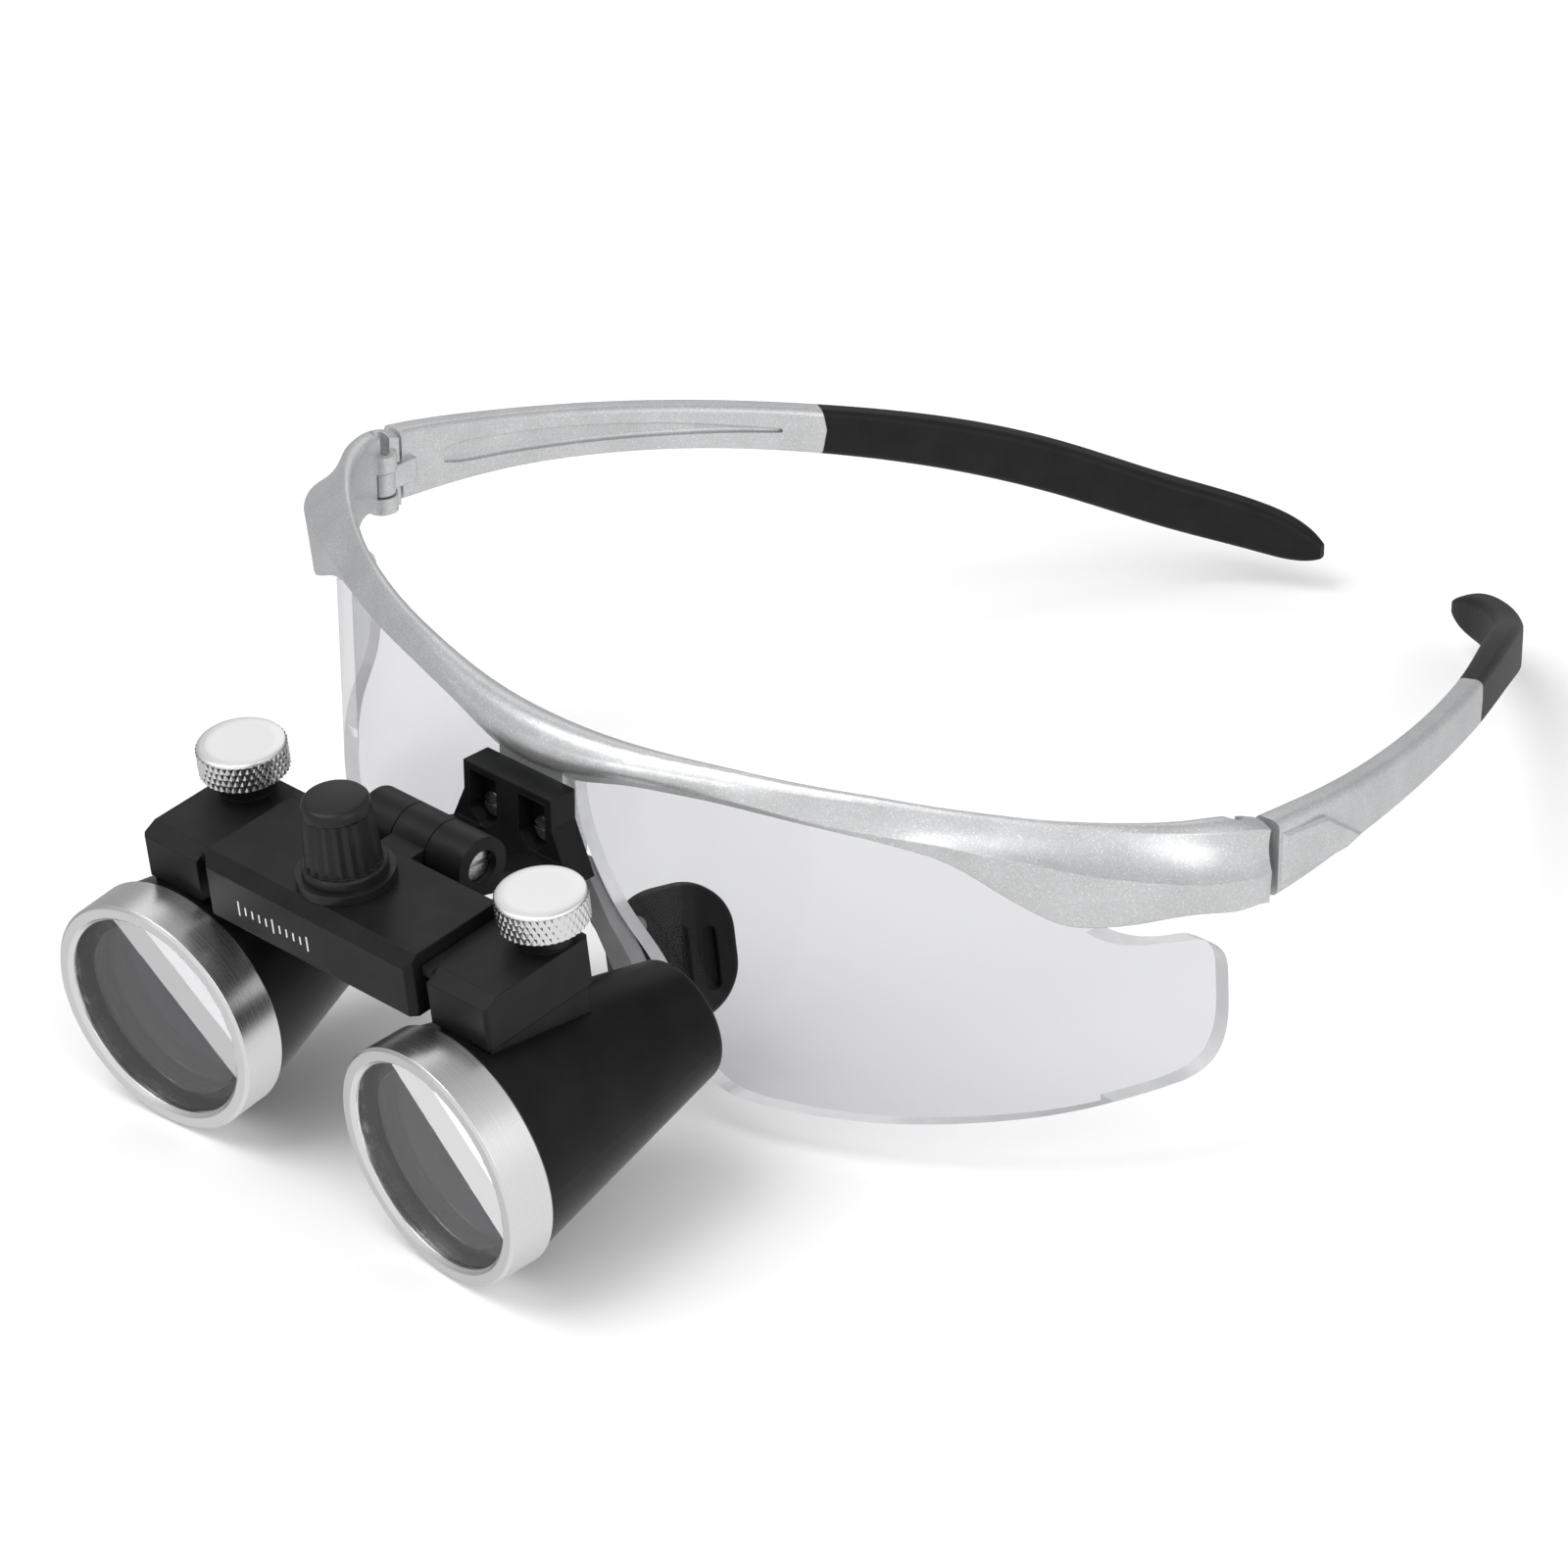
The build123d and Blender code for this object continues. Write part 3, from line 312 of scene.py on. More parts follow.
# %% [markdown]
# ### Black metal, black plastic and rubber
#
# Anodised aluminium is black with a soft sheen and a very fine blasted
# grain. The knob on the deck is black plastic, a little glossier. The temple
# tips and nose pads are rubber: matt, with a faint orange-peel skin and
# lighter scuffs. All start from one helper that mixes two near blacks.


# %% Black finishes
def dark_finish(name, dark, light, roughness, grain, depth, edge, metallic=0.0, sheen=0.0,
                shine=0.5):
    """A near-black surface with a fine grain and a slow change of shade."""
    material, tree, shader = finish(name, dark, metallic, roughness)
    shader.inputs["Sheen Weight"].default_value = sheen
    shader.inputs["Specular IOR Level"].default_value = shine
    tree.links.new(ramp(tree, noise(tree, 220.0, 4.0), [(0.3, dark), (0.75, light)]),
                   shader.inputs["Base Color"])
    fine = noise(tree, grain, 2.0)
    tree.links.new(spread(tree, fine, roughness - 0.06, roughness + 0.06, 0.3, 0.7),
                   shader.inputs["Roughness"])
    bump(tree, shader, fine, depth, 0.6, edge)
    return material


anodised = dark_finish("anodised_black", (0.006, 0.0062, 0.0068), (0.011, 0.0113, 0.012),
                       0.40, 9000.0, 0.000008, 0.00030, shine=0.18)
barrel_black = dark_finish("barrel_black", (0.004, 0.0042, 0.0045), (0.008, 0.0082, 0.0085),
                           0.34, 11000.0, 0.000006, 0.00020, shine=0.15)
grip_plastic = dark_finish("grip_plastic", (0.008, 0.008, 0.009), (0.014, 0.014, 0.015),
                           0.36, 6000.0, 0.00001, 0.00020, shine=0.25)
tip_rubber = dark_finish("tip_rubber", (0.006, 0.006, 0.006), (0.011, 0.011, 0.011),
                         0.46, 5200.0, 0.00001, 0.00030, shine=0.2)
pad_rubber = dark_finish("pad_rubber", (0.007, 0.007, 0.0075), (0.013, 0.013, 0.014),
                         0.42, 3600.0, 0.000004, 0.00040, shine=0.18)
saddle_grey = dark_finish("saddle_grey", (0.20, 0.20, 0.205), (0.26, 0.26, 0.265),
                          0.42, 4200.0, 0.00001, 0.00030)
rail_steel = dark_finish("rail_steel", (0.10, 0.10, 0.105), (0.16, 0.16, 0.165),
                         0.34, 9000.0, 0.000006, 0.00015, metallic=0.9)

# %% [markdown]
# ### Bright metal
#
# The bezels are turned aluminium: the cutter leaves fine rings round the
# telescope's axis. The rings are a wave of the distance along that axis, so
# each side has its own material, which knows its telescope's middle and
# direction. The clamp knobs' tops are faced on the same lathe, and their
# rings run round the knob's axis.


# %% Turned metal
def turned_metal(name, colour, roughness, centre, axis, pitch, depth, radial):
    """Metal with cutter marks: rings along an axis, or out from it on a face."""
    material, tree, shader = finish(name, colour, 1.0, roughness)
    place = tree.nodes.new("ShaderNodeTexCoord")
    moved = tree.nodes.new("ShaderNodeVectorMath")
    moved.operation = "SUBTRACT"
    moved.inputs[1].default_value = centre
    tree.links.new(place.outputs["Object"], moved.inputs[0])
    measure = tree.nodes.new("ShaderNodeVectorMath")
    if radial:
        outward = tree.nodes.new("ShaderNodeVectorMath")
        outward.operation = "CROSS_PRODUCT"
        outward.inputs[1].default_value = axis
        tree.links.new(moved.outputs["Vector"], outward.inputs[0])
        measure.operation = "LENGTH"
        tree.links.new(outward.outputs["Vector"], measure.inputs[0])
    else:
        measure.operation = "DOT_PRODUCT"
        measure.inputs[1].default_value = axis
        tree.links.new(moved.outputs["Vector"], measure.inputs[0])
    rings = tree.nodes.new("ShaderNodeTexNoise")
    rings.noise_dimensions = "1D"
    rings.inputs["Scale"].default_value = 1.0 / pitch
    rings.inputs["Detail"].default_value = 3.0
    tree.links.new(measure.outputs["Value"], rings.inputs["W"])
    ring_roughness = spread(tree, rings.outputs["Fac"],
                            roughness - 0.03, roughness + 0.04, 0.3, 0.7)
    tree.links.new(ring_roughness, shader.inputs["Roughness"])
    darker = tuple(c * 0.96 for c in colour)
    tree.links.new(ramp(tree, rings.outputs["Fac"], [(0.3, darker), (0.7, colour)]),
                   shader.inputs["Base Color"])
    bump(tree, shader, rings.outputs["Fac"], depth, 0.35, 0.00012)
    return material


pivot = Vector(joints["flip_up"]["pos_m"])
deck_up = Vector(joints["light_turn"]["axis"]).normalized()
deck_forward = deck_up.cross(Vector((-1, 0, 0)))
rims = {mount["name"]: mount for mount in record["mounts"]}
sides = ("left", "right")
telescope_axis = {side: Vector(rims[side + "_bezel_rim"]["axis"]) for side in sides}
telescope_at = {side: Vector(rims[side + "_bezel_rim"]["pos_m"]) for side in sides}
bezel_metal = {}
knob_face = {}
for side in sides:
    bezel_metal[side] = turned_metal(side + "_turned_bezel", (0.66, 0.66, 0.66), 0.27,
                                     telescope_at[side], telescope_axis[side],
                                     0.00018, 0.0000012, False)
    knob_at = Vector(joints[side + "_clamp_turn"]["pos_m"])
    knob_face[side] = turned_metal(side + "_turned_knob", (0.84, 0.84, 0.84), 0.36,
                                   knob_at, deck_up, 0.00030, 0.0000012, True)
knurl_metal = finish("knurl_metal", (0.66, 0.66, 0.66), 1.0, 0.30)[0]
screw_steel, tree, shader = finish("screw_steel", (0.62, 0.62, 0.61), 1.0, 0.26)
tree.links.new(spread(tree, noise(tree, 2500.0), 0.18, 0.36), shader.inputs["Roughness"])
bump(tree, shader, noise(tree, 4000.0), 0.000006, 0.5, 0.00008)
tree = knurl_metal.node_tree
tree.links.new(spread(tree, noise(tree, 3000.0), 0.16, 0.34),
               tree.nodes["Principled BSDF"].inputs["Roughness"])
print("deck leans forward by", round(math.degrees(math.acos(deck_up.z)), 2), "degrees")

# %% [markdown]
# ### Clear plastic and glass
#
# A lens is clear, so its look is what lies behind it, a little greyer, plus
# a thin reflection that grows towards a grazing view. Mixing a Transparent
# and a Glossy shader by how far the surface turns away gives just that, and
# keeps the light on the floor soft. Light caught inside a sheet leaves at its
# rim, so the rim is given a paler, denser colour of its own: painted light
# that stands in for that glow.


# %% Clear finishes
def clear_finish(name, tint, shine_low, shine_high, roughness, scuffs=0.0):
    """A see-through sheet with a surface reflection."""
    material = bpy.data.materials.new(name)
    material.use_nodes = True
    tree = material.node_tree
    tree.nodes.clear()
    out = tree.nodes.new("ShaderNodeOutputMaterial")
    see = tree.nodes.new("ShaderNodeBsdfTransparent")
    see.inputs["Color"].default_value = (*tint, 1)
    shine = tree.nodes.new("ShaderNodeBsdfGlossy")
    shine.inputs["Roughness"].default_value = roughness
    if scuffs:
        worn = spread(tree, noise(tree, 90.0, 5.0), roughness, roughness + scuffs, 0.4, 0.8)
        tree.links.new(worn, shine.inputs["Roughness"])
    facing = tree.nodes.new("ShaderNodeLayerWeight")
    grazing = tree.nodes.new("ShaderNodeMath")
    grazing.operation = "POWER"
    grazing.inputs[1].default_value = 4.0
    mix = tree.nodes.new("ShaderNodeMixShader")
    tree.links.new(facing.outputs["Facing"], grazing.inputs[0])
    tree.links.new(spread(tree, grazing.outputs[0], shine_low, shine_high), mix.inputs["Fac"])
    tree.links.new(see.outputs["BSDF"], mix.inputs[1])
    tree.links.new(shine.outputs["BSDF"], mix.inputs[2])
    tree.links.new(mix.outputs["Shader"], out.inputs["Surface"])
    return material


clear_lens = clear_finish("clear_lens", (0.855, 0.856, 0.862), 0.01, 0.22, 0.04, 0.03)
front_glass = clear_finish("front_glass", (0.93, 0.92, 0.94), 0.05, 0.8, 0.01)
coated_glass = clear_finish("coated_glass", (0.80, 0.76, 0.86), 0.012, 0.5, 0.02)
# The rim's paler base colour is painted light: it stands in for the glow of light leaving the
# sheet's edge.
lens_rim, tree, shader = finish("lens_rim", (0.76, 0.76, 0.78), 0.0, 0.22)
shader.inputs["Transmission Weight"].default_value = 0.35
tree.links.new(ramp(tree, noise(tree, 300.0, 3.0),
                    [(0.3, (0.70, 0.70, 0.72)), (0.7, (0.82, 0.82, 0.83))]),
               shader.inputs["Base Color"])
bump(tree, shader, noise(tree, 1500.0), 0.00001, 0.4)
white_ink, tree, shader = finish("white_ink", (0.80, 0.80, 0.80), 0.0, 0.55)
tree.links.new(ramp(tree, noise(tree, 5000.0),
                    [(0.3, (0.62, 0.62, 0.62)), (0.6, (0.82, 0.82, 0.82))]),
               shader.inputs["Base Color"])
floor_paint, tree, shader = finish("floor_paint", (0.92, 0.92, 0.92), 0.0, 0.8)
tree.links.new(ramp(tree, noise(tree, 6.0, 2.0),
                    [(0.3, (0.915, 0.915, 0.915)), (0.7, (0.93, 0.93, 0.93))]),
               shader.inputs["Base Color"])
floor_mesh.materials.append(floor_paint)

# %% Put the finishes on the CAD nodes
node_finish = {
    "front_frame": silver_paint, "left_temple": silver_paint, "right_temple": silver_paint,
    "left_temple_tip": tip_rubber, "right_temple_tip": tip_rubber,
    "nose_saddle": saddle_grey, "left_nose_pad": pad_rubber, "right_nose_pad": pad_rubber,
    "mount_bracket": anodised, "centre_block": anodised, "rail": rail_steel,
    "bracket_screws": screw_steel, "hinge_screws": screw_steel, "flip_screw": screw_steel,
    "flip_nut": screw_steel, "rail_screws": screw_steel,
    "light_washer": grip_plastic, "light_knob": grip_plastic,
    "left_lens": clear_lens, "right_lens": clear_lens,
}
for side in sides:
    node_finish[side + "_slider_block"] = anodised
    node_finish[side + "_clamp_shoe"] = rail_steel
    node_finish[side + "_clamp_knob"] = knob_face[side]
    node_finish[side + "_barrel"] = barrel_black
    node_finish[side + "_bezel"] = bezel_metal[side]
    node_finish[side + "_cover_glass"] = front_glass
    node_finish[side + "_objective_crown"] = coated_glass
    node_finish[side + "_objective_flint"] = coated_glass
    node_finish[side + "_eyepiece_lens"] = coated_glass
    node_finish[side + "_objective_ring"] = barrel_black
    node_finish[side + "_eyepiece_ring"] = barrel_black
for node, piece in frame["nodes"].items():
    for slot in piece.material_slots:
        slot.material = node_finish[node]
print("finished nodes:", len(node_finish))

# %% [markdown]
# ## Lens rims
#
# The two clear lenses keep their CAD shape, but their rims need a second
# finish: a paler colour that is painted light, the glow of light leaving the
# sheet's edge. A copy of each lens is merged into one skin, and each face is asked
# which way it looks: a face that looks across the sheet belongs to the clear
# part, and one that looks along the sheet belongs to the rim. The sheet
# follows the brow, which is close to an ellipse, so the ellipse's own
# direction is enough to tell them apart.


# %% Lenses with rims
def merged_copy(node, name):
    """A copy of a CAD node's mesh with its doubles merged."""
    mesh = bpy.data.meshes.new(name)
    work = bmesh.new()
    work.from_mesh(frame["nodes"][node].data)
    bmesh.ops.remove_doubles(work, verts=work.verts, dist=1e-6)
    work.to_mesh(mesh)
    work.free()
    return mesh


def new_piece(name, mesh, body):
    """An object at the origin that rides on a body."""
    piece = bpy.data.objects.new(name, mesh)
    bpy.context.collection.objects.link(piece)
    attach(piece, body)
    return piece


brow_low, brow_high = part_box("front_frame")
SHEET_HALF_X = brow_high[0] - 0.004
SHEET_HALF_Y = brow_high[1] - brow_low[1]
for side in sides:
    mesh = merged_copy(side + "_lens", side + "_lens_shield")
    mesh.materials.clear()
    mesh.materials.append(clear_lens)
    mesh.materials.append(lens_rim)
    rim_faces = 0
    for face in mesh.polygons:
        middle = face.center
        outward = Vector((middle.x / SHEET_HALF_X ** 2,
                          (middle.y - brow_high[1]) / SHEET_HALF_Y ** 2, 0)).normalized()
        is_rim = abs(face.normal.dot(outward)) < 0.6
        face.material_index = 1 if is_rim else 0
        face.use_smooth = not is_rim
        rim_faces += is_rim
    shield = new_piece(side + "_lens_shield", mesh, "frame")
    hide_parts(side + "_lens")
    print(side, "lens:", len(mesh.polygons), "faces,", rim_faces, "in the rim")

# %% [markdown]
# ## Geometry Nodes helpers
#
# The knurls, flutes, baffles and scale marks all repeat, so Geometry Nodes
# make them. Each tree is written here with named inputs. The helpers below
# add a node, do one sum, and turn the finished modifier into a plain mesh,
# moved to its place on the loupes.


# %% Helpers for Geometry Nodes
def new_tree(name, inputs):
    """A Geometry Nodes tree with named inputs: (name, socket type, value)."""
    tree = bpy.data.node_groups.new(name, "GeometryNodeTree")
    tree.interface.new_socket("Geometry", in_out="OUTPUT", socket_type="NodeSocketGeometry")
    for label, kind, value in inputs:
        socket = tree.interface.new_socket(label, in_out="INPUT", socket_type=kind)
        if value is not None:
            socket.default_value = value
    start = tree.nodes.new("NodeGroupInput")
    end = tree.nodes.new("NodeGroupOutput")
    return tree, start.outputs, end.inputs


def feed(tree, socket, value):
    """Joins a socket to another, or sets its value."""
    if isinstance(value, bpy.types.NodeSocket):
        tree.links.new(value, socket)
    else:
        socket.default_value = value


def sum_of(tree, operation, first, second=0.0):
    """One Math node."""
    node = tree.nodes.new("ShaderNodeMath")
    node.operation = operation
    feed(tree, node.inputs[0], first)
    feed(tree, node.inputs[1], second)
    return node.outputs[0]


def made_mesh(tree, name, values, place):
    """Runs a tree on an empty mesh and returns the result as a plain mesh in its place."""
    host = bpy.data.objects.new(name + "_host", bpy.data.meshes.new(name + "_host"))
    bpy.context.collection.objects.link(host)
    modifier = host.modifiers.new("tree", "NODES")
    modifier.node_group = tree
    for item in tree.interface.items_tree:
        if item.in_out == "INPUT" and item.name in values:
            modifier[item.identifier] = values[item.name]
    bpy.context.view_layer.update()
    evaluated = host.evaluated_get(bpy.context.evaluated_depsgraph_get())
    mesh = bpy.data.meshes.new_from_object(evaluated)
    mesh.name = name
    host.modifiers.remove(modifier)
    bpy.data.objects.remove(host)
    mesh.transform(place)
    return mesh


def local_frame(origin, upward, sideways=Vector((1, 0, 0))):
    """A place whose Z is a given direction."""
    z = Vector(upward).normalized()
    y = z.cross(sideways).normalized()
    x = y.cross(z)
    return Matrix.Translation(origin) @ Matrix((x, y, z)).transposed().to_4x4()


# %% [markdown]
# ## Knurled clamp knobs
#
# Each clamp knob is a silver disc that fingers turn, so its side is knurled:
# two sets of slanted grooves cross and leave rows of small diamonds. The
# band starts as a flat grid. Its width becomes the angle round the knob, its
# height stays, and its radius drops in every groove. A triangle wave along
# each of the two slants gives the grooves their V shape.

# %% A knurled or fluted band
inputs = [("Radius", "NodeSocketFloat", 0.0054), ("Top Radius", "NodeSocketFloat", 0.0054),
          ("Height", "NodeSocketFloat", 0.0033), ("Depth", "NodeSocketFloat", 0.0002),
          ("Teeth", "NodeSocketInt", 44), ("Slant", "NodeSocketFloat", 2.0),
          ("Around", "NodeSocketInt", 353), ("Along", "NodeSocketInt", 33),
          ("Material", "NodeSocketMaterial", None)]
band_tree, given, made = new_tree("cut_band", inputs)
grid = band_tree.nodes.new("GeometryNodeMeshGrid")
grid.inputs["Size X"].default_value = 1.0
grid.inputs["Size Y"].default_value = 1.0
band_tree.links.new(given["Around"], grid.inputs["Vertices X"])
band_tree.links.new(given["Along"], grid.inputs["Vertices Y"])
where = band_tree.nodes.new("GeometryNodeInputPosition")
parts = band_tree.nodes.new("ShaderNodeSeparateXYZ")
band_tree.links.new(where.outputs[0], parts.inputs[0])
share_round = sum_of(band_tree, "ADD", parts.outputs["X"], 0.5)
share_up = sum_of(band_tree, "ADD", parts.outputs["Y"], 0.5)
tooth = sum_of(band_tree, "MULTIPLY", share_round, given["Teeth"])
lean = sum_of(band_tree, "MULTIPLY", share_up, given["Slant"])
crests = []
for way in ("ADD", "SUBTRACT"):
    phase = sum_of(band_tree, way, tooth, lean)
    crests.append(sum_of(band_tree, "PINGPONG", phase, 0.5))
crest = sum_of(band_tree, "MULTIPLY", sum_of(band_tree, "MINIMUM", *crests), 2.0)
groove = sum_of(band_tree, "MULTIPLY", sum_of(band_tree, "SUBTRACT", 1.0, crest), given["Depth"])
taper = sum_of(band_tree, "MULTIPLY", share_up,
               sum_of(band_tree, "SUBTRACT", given["Top Radius"], given["Radius"]))
plain = sum_of(band_tree, "ADD", given["Radius"], taper)
radius = sum_of(band_tree, "SUBTRACT", plain, groove)
angle = sum_of(band_tree, "MULTIPLY", share_round, 2 * math.pi)
rolled = band_tree.nodes.new("ShaderNodeCombineXYZ")
band_tree.links.new(sum_of(band_tree, "MULTIPLY", radius, sum_of(band_tree, "COSINE", angle)),
                    rolled.inputs["X"])
band_tree.links.new(sum_of(band_tree, "MULTIPLY", radius, sum_of(band_tree, "SINE", angle)),
                    rolled.inputs["Y"])
band_tree.links.new(sum_of(band_tree, "MULTIPLY", share_up, given["Height"]), rolled.inputs["Z"])
roll = band_tree.nodes.new("GeometryNodeSetPosition")
band_tree.links.new(grid.outputs["Mesh"], roll.inputs["Geometry"])
band_tree.links.new(rolled.outputs[0], roll.inputs["Position"])
seam = band_tree.nodes.new("GeometryNodeMergeByDistance")
seam.inputs["Distance"].default_value = 1e-6
band_tree.links.new(roll.outputs["Geometry"], seam.inputs["Geometry"])
real = band_tree.nodes.new("GeometryNodeRealizeInstances")
band_tree.links.new(seam.outputs["Geometry"], real.inputs["Geometry"])
paint = band_tree.nodes.new("GeometryNodeSetMaterial")
band_tree.links.new(real.outputs["Geometry"], paint.inputs["Geometry"])
band_tree.links.new(given["Material"], paint.inputs["Material"])
band_tree.links.new(paint.outputs["Geometry"], made["Geometry"])
print("band tree:", len(band_tree.nodes), "nodes")


# %% Turned bodies
def turned_mesh(name, profile, material, place, steps=96):
    """A solid turned about Z from (radius, height) points, closed at both ends on the axis."""
    work = bmesh.new()
    rings = []
    for radius, height in profile:
        if radius < 1e-9:
            rings.append([work.verts.new((0, 0, height))])
            continue
        rings.append([work.verts.new((radius * math.cos(2 * math.pi * k / steps),
                                      radius * math.sin(2 * math.pi * k / steps), height))
                      for k in range(steps)])
    for low, high in zip(rings, rings[1:]):
        for k in range(steps):
            n = (k + 1) % steps
            corners = [low[k % len(low)], low[n % len(low)],
                       high[n % len(high)], high[k % len(high)]]
            unique = list(dict.fromkeys(corners))
            if len(unique) > 2:
                work.faces.new(unique)
    bmesh.ops.recalc_face_normals(work, faces=work.faces)
    mesh = bpy.data.meshes.new(name)
    work.to_mesh(mesh)
    work.free()
    mesh.materials.append(material)
    mesh.transform(place)
    return mesh


def joined(name, meshes, smooth_angle=35.0):
    """Several meshes in one, with their materials, smooth below an angle."""
    work = bmesh.new()
    mesh = bpy.data.meshes.new(name)
    for part in meshes:
        offset = len(mesh.materials)
        for material in part.materials:
            mesh.materials.append(material)
        before = len(work.faces)
        work.from_mesh(part)
        work.faces.ensure_lookup_table()
        for face in work.faces[before:]:
            face.material_index += offset
    work.to_mesh(mesh)
    work.free()
    mesh.shade_smooth()
    mesh.set_sharp_from_angle(angle=math.radians(smooth_angle))
    return mesh


# %% The two clamp knobs
KNOB_RADIUS = 5.4 * MM
KNOB_HEIGHT = 4.0 * MM
KNOB_EDGE = 0.4 * MM
NECK_RADIUS = 2.4 * MM
STUD_RADIUS = 1.4 * MM
KNURL_DEPTH = 0.16 * MM
TOP_DISH = 0.05 * MM
TOP_DISH_RADIUS = 3.6 * MM
for side in sides:
    place = local_frame(Vector(joints[side + "_clamp_turn"]["pos_m"]), deck_up)
    low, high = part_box(side + "_clamp_knob")
    stud_depth = (high[2] - low[2]) / deck_up.z - 2 * KNOB_RADIUS * abs(deck_up.y)
    neck_depth = KNOB_HEIGHT + 0.8 * MM
    core = KNOB_RADIUS - KNURL_DEPTH
    body = turned_mesh(side + "_knob_body", [
        (0, -TOP_DISH), (TOP_DISH_RADIUS, -TOP_DISH), (core - KNOB_EDGE, 0),
        (core - 0.1 * MM, -0.12 * MM),
        (core, -KNOB_EDGE), (core, -KNOB_HEIGHT + KNOB_EDGE), (core - KNOB_EDGE, -KNOB_HEIGHT),
        (NECK_RADIUS, -KNOB_HEIGHT), (NECK_RADIUS, -neck_depth), (STUD_RADIUS, -neck_depth),
        (STUD_RADIUS, -stud_depth), (0, -stud_depth)], knob_face[side], place)
    band = made_mesh(band_tree, side + "_knurl", {
        "Radius": KNOB_RADIUS, "Top Radius": KNOB_RADIUS, "Height": KNOB_HEIGHT - 2 * KNOB_EDGE,
        "Depth": KNURL_DEPTH, "Teeth": 42, "Slant": 2.0, "Around": 337, "Along": 33,
        "Material": knurl_metal}, place @ Matrix.Translation((0, 0, -KNOB_HEIGHT + KNOB_EDGE)))
    knob = new_piece(side + "_knurled_knob", joined(side + "_knurled_knob", [body, band]),
                     side + "_grip")
    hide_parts(side + "_clamp_knob")
    print(side, "knob:", len(knob.data.polygons), "faces")

# %% [markdown]
# ## The light knob
#
# The black knob in the middle of the deck clamps a head light's arm. It is
# moulded plastic with upright flutes for grip, on a smooth flange. The same
# band tree makes it: with no slant the two triangle waves fall together and
# the grooves stand upright, and a smaller top radius gives the taper.

# %% The fluted light knob
light_at = Vector(joints["light_turn"]["pos_m"])
light_place = local_frame(light_at, deck_up)
GRIP_HEIGHT = 8.4 * MM
GRIP_BASE = 4.5 * MM
GRIP_TOP = 4.0 * MM
FLANGE_HEIGHT = 1.3 * MM
FLANGE_RADIUS = 5.0 * MM
FLUTE_DEPTH = 0.30 * MM
CAP_HEIGHT = 1.5 * MM
low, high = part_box("light_knob")
screw_depth = (high[2] - low[2]) / deck_up.z - 2 * STUD_RADIUS * abs(deck_up.y) - 0.9 * MM
knob_total = GRIP_HEIGHT + FLANGE_HEIGHT
inner_top = GRIP_TOP - FLUTE_DEPTH
inner_base = GRIP_BASE - FLUTE_DEPTH
body = turned_mesh("light_knob_body", [
    (0, -0.04 * MM), (GRIP_TOP - 0.75 * MM, -0.02 * MM), (GRIP_TOP - 0.35 * MM, -0.12 * MM),
    (GRIP_TOP - 0.08 * MM, -0.42 * MM), (GRIP_TOP, -0.8 * MM), (GRIP_TOP + 0.05 * MM, -CAP_HEIGHT),
    (inner_top, -CAP_HEIGHT - 0.25 * MM), (inner_base, -GRIP_HEIGHT),
    (FLANGE_RADIUS - 0.25 * MM, -GRIP_HEIGHT), (FLANGE_RADIUS, -GRIP_HEIGHT - 0.25 * MM),
    (FLANGE_RADIUS, -knob_total), (1.5 * MM, -knob_total), (1.5 * MM, -screw_depth),
    (0, -screw_depth)], grip_plastic, light_place)
flutes = made_mesh(band_tree, "light_flutes", {
    "Radius": GRIP_BASE, "Top Radius": GRIP_TOP + 0.05 * MM,
    "Height": GRIP_HEIGHT - CAP_HEIGHT - 0.1 * MM, "Depth": FLUTE_DEPTH, "Teeth": 20, "Slant": 0.0,
    "Around": 241, "Along": 13, "Material": grip_plastic},
    light_place @ Matrix.Translation((0, 0, -GRIP_HEIGHT)))
light_grip = new_piece("fluted_light_knob", joined("fluted_light_knob", [body, flutes]),
                       "light_grip")
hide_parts("light_knob")
print("light knob:", len(light_grip.data.polygons), "faces")

# %% [markdown]
# ## Scale marks on the deck
#
# The deck's front face carries a printed line of white marks. A generic
# scale stands here: eleven fine ticks, with every fifth one longer. A Mesh
# Line gives the places, and an index test chooses each tick's height.

# %% The scale
inputs = [("Count", "NodeSocketInt", 11), ("Spacing", "NodeSocketFloat", 0.001),
          ("Width", "NodeSocketFloat", 0.00022), ("Height", "NodeSocketFloat", 0.0011),
          ("Long", "NodeSocketFloat", 1.8), ("Every", "NodeSocketInt", 5),
          ("Material", "NodeSocketMaterial", None)]
tick_tree, given, made = new_tree("scale_marks", inputs)
line = tick_tree.nodes.new("GeometryNodeMeshLine")
tick_tree.links.new(given["Count"], line.inputs["Count"])
step = tick_tree.nodes.new("ShaderNodeCombineXYZ")
tick_tree.links.new(given["Spacing"], step.inputs["X"])
tick_tree.links.new(step.outputs[0], line.inputs["Offset"])
bar = tick_tree.nodes.new("GeometryNodeMeshCube")
bar_size = tick_tree.nodes.new("ShaderNodeCombineXYZ")
tick_tree.links.new(given["Width"], bar_size.inputs["X"])
tick_tree.links.new(given["Height"], bar_size.inputs["Y"])
bar_size.inputs["Z"].default_value = 0.00004
tick_tree.links.new(bar_size.outputs[0], bar.inputs["Size"])
number = tick_tree.nodes.new("GeometryNodeInputIndex")
rest_of = sum_of(tick_tree, "MODULO", number.outputs[0], given["Every"])
is_long = sum_of(tick_tree, "LESS_THAN", rest_of, 0.5)
extra = sum_of(tick_tree, "SUBTRACT", given["Long"], 1.0)
stretch = sum_of(tick_tree, "ADD", 1.0, sum_of(tick_tree, "MULTIPLY", is_long, extra))
bar_scale = tick_tree.nodes.new("ShaderNodeCombineXYZ")
bar_scale.inputs["X"].default_value = 1.0
bar_scale.inputs["Z"].default_value = 1.0
tick_tree.links.new(stretch, bar_scale.inputs["Y"])
copies = tick_tree.nodes.new("GeometryNodeInstanceOnPoints")
tick_tree.links.new(line.outputs["Mesh"], copies.inputs["Points"])
tick_tree.links.new(bar.outputs["Mesh"], copies.inputs["Instance"])
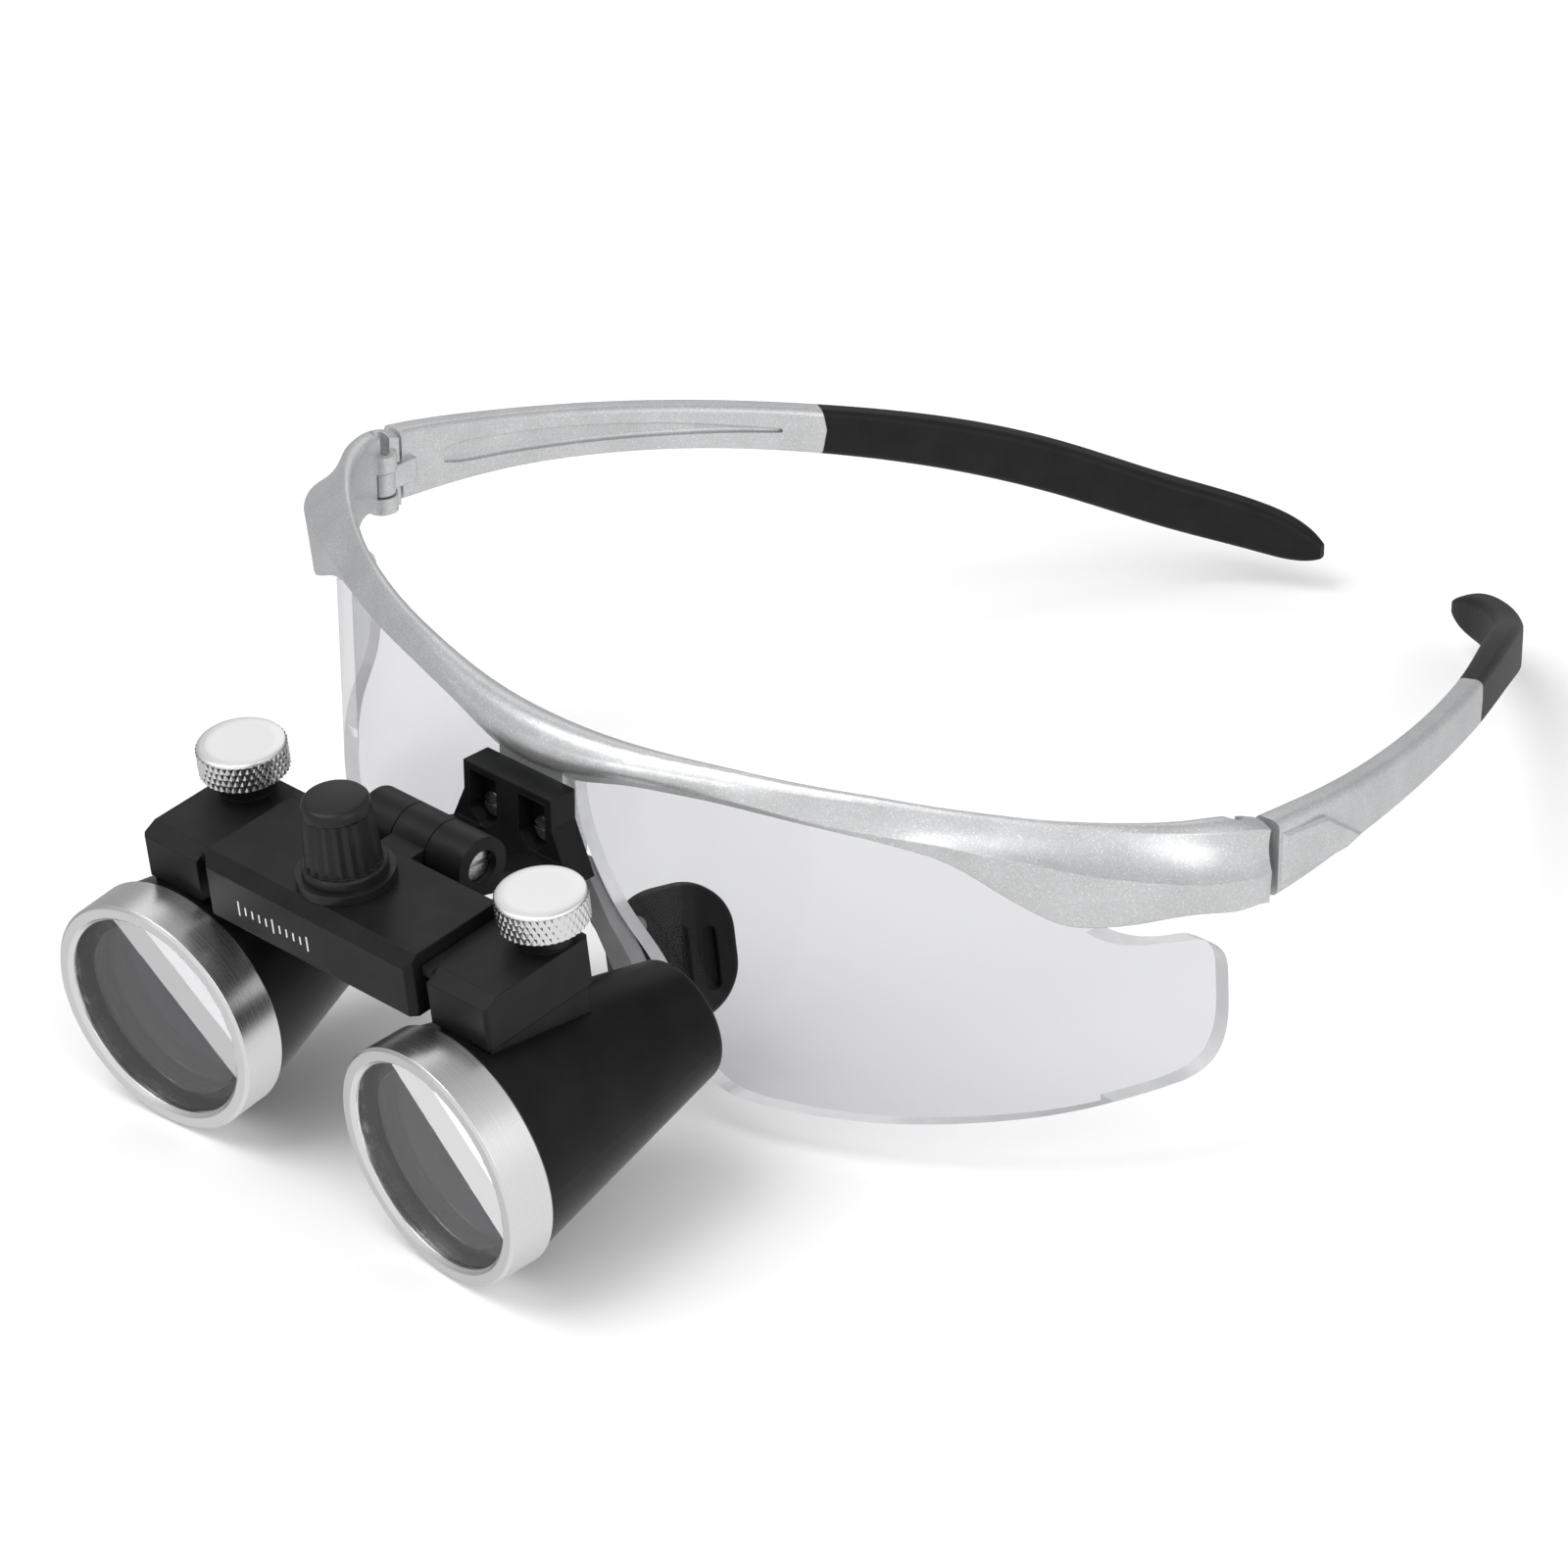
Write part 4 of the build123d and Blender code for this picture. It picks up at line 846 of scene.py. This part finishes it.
tick_tree.links.new(bar_scale.outputs[0], copies.inputs["Scale"])
real = tick_tree.nodes.new("GeometryNodeRealizeInstances")
tick_tree.links.new(copies.outputs["Instances"], real.inputs["Geometry"])
paint = tick_tree.nodes.new("GeometryNodeSetMaterial")
tick_tree.links.new(real.outputs["Geometry"], paint.inputs["Geometry"])
tick_tree.links.new(given["Material"], paint.inputs["Material"])
tick_tree.links.new(paint.outputs["Geometry"], made["Geometry"])

# The deck's front face stands 19.7 mm in front of the flip hinge's axis.
DECK_FRONT = 19.7 * MM
INK_HEIGHT = 0.005 * MM
MARKS_LOW = -3.0 * MM
FIRST_MARK_X = -11.5 * MM
MARK_SPACING = 1.15 * MM
marks_at = pivot + deck_forward * (DECK_FRONT + INK_HEIGHT) + deck_up * MARKS_LOW
marks_at = marks_at + Vector((FIRST_MARK_X, 0, 0))
marks = made_mesh(tick_tree, "scale_marks", {"Material": white_ink, "Spacing": MARK_SPACING},
                  local_frame(marks_at, deck_forward))
new_piece("scale_marks", marks, "deck")
print("marks:", len(marks.polygons), "faces at", tuple(round(c, 4) for c in marks_at))

# %% [markdown]
# ## Baffles inside the telescopes
#
# Light that grazes the inside of a barrel would fog the view, so its wall is
# stepped with thin rings. They show faintly through the front glass. One
# tree makes a flat ring, and puts copies along the axis, each smaller than
# the one in front, as the barrel narrows.

# %% The baffles
inputs = [("Count", "NodeSocketInt", 5), ("Spacing", "NodeSocketFloat", 0.003),
          ("Radius", "NodeSocketFloat", 0.0108), ("Shrink", "NodeSocketFloat", 0.082),
          ("Wire", "NodeSocketFloat", 0.0003), ("Material", "NodeSocketMaterial", None)]
ring_tree, given, made = new_tree("baffle_rings", inputs)
line = ring_tree.nodes.new("GeometryNodeMeshLine")
step = ring_tree.nodes.new("ShaderNodeCombineXYZ")
ring_tree.links.new(given["Count"], line.inputs["Count"])
ring_tree.links.new(given["Spacing"], step.inputs["Z"])
ring_tree.links.new(step.outputs[0], line.inputs["Offset"])
loop = ring_tree.nodes.new("GeometryNodeCurvePrimitiveCircle")
loop.inputs["Resolution"].default_value = 72
ring_tree.links.new(given["Radius"], loop.inputs["Radius"])
section = ring_tree.nodes.new("GeometryNodeCurvePrimitiveCircle")
section.inputs["Resolution"].default_value = 8
ring_tree.links.new(given["Wire"], section.inputs["Radius"])
swept = ring_tree.nodes.new("GeometryNodeCurveToMesh")
ring_tree.links.new(loop.outputs["Curve"], swept.inputs["Curve"])
ring_tree.links.new(section.outputs["Curve"], swept.inputs["Profile Curve"])
number = ring_tree.nodes.new("GeometryNodeInputIndex")
shrunk = sum_of(ring_tree, "MULTIPLY", number.outputs[0], given["Shrink"])
size = sum_of(ring_tree, "SUBTRACT", 1.0, shrunk)
copies = ring_tree.nodes.new("GeometryNodeInstanceOnPoints")
ring_tree.links.new(line.outputs["Mesh"], copies.inputs["Points"])
ring_tree.links.new(swept.outputs["Mesh"], copies.inputs["Instance"])
ring_tree.links.new(size, copies.inputs["Scale"])
real = ring_tree.nodes.new("GeometryNodeRealizeInstances")
ring_tree.links.new(copies.outputs["Instances"], real.inputs["Geometry"])
paint = ring_tree.nodes.new("GeometryNodeSetMaterial")
ring_tree.links.new(real.outputs["Geometry"], paint.inputs["Geometry"])
ring_tree.links.new(given["Material"], paint.inputs["Material"])
ring_tree.links.new(paint.outputs["Geometry"], made["Geometry"])
FIRST_BAFFLE = 9.5 * MM
for side in sides:
    start = telescope_at[side] - telescope_axis[side] * FIRST_BAFFLE
    rings = made_mesh(ring_tree, side + "_baffles", {"Material": barrel_black},
                      local_frame(start, -telescope_axis[side]))
    rings.shade_smooth()
    new_piece(side + "_baffles", rings, side + "_slide")
    print(side, "baffles:", len(rings.polygons), "faces")
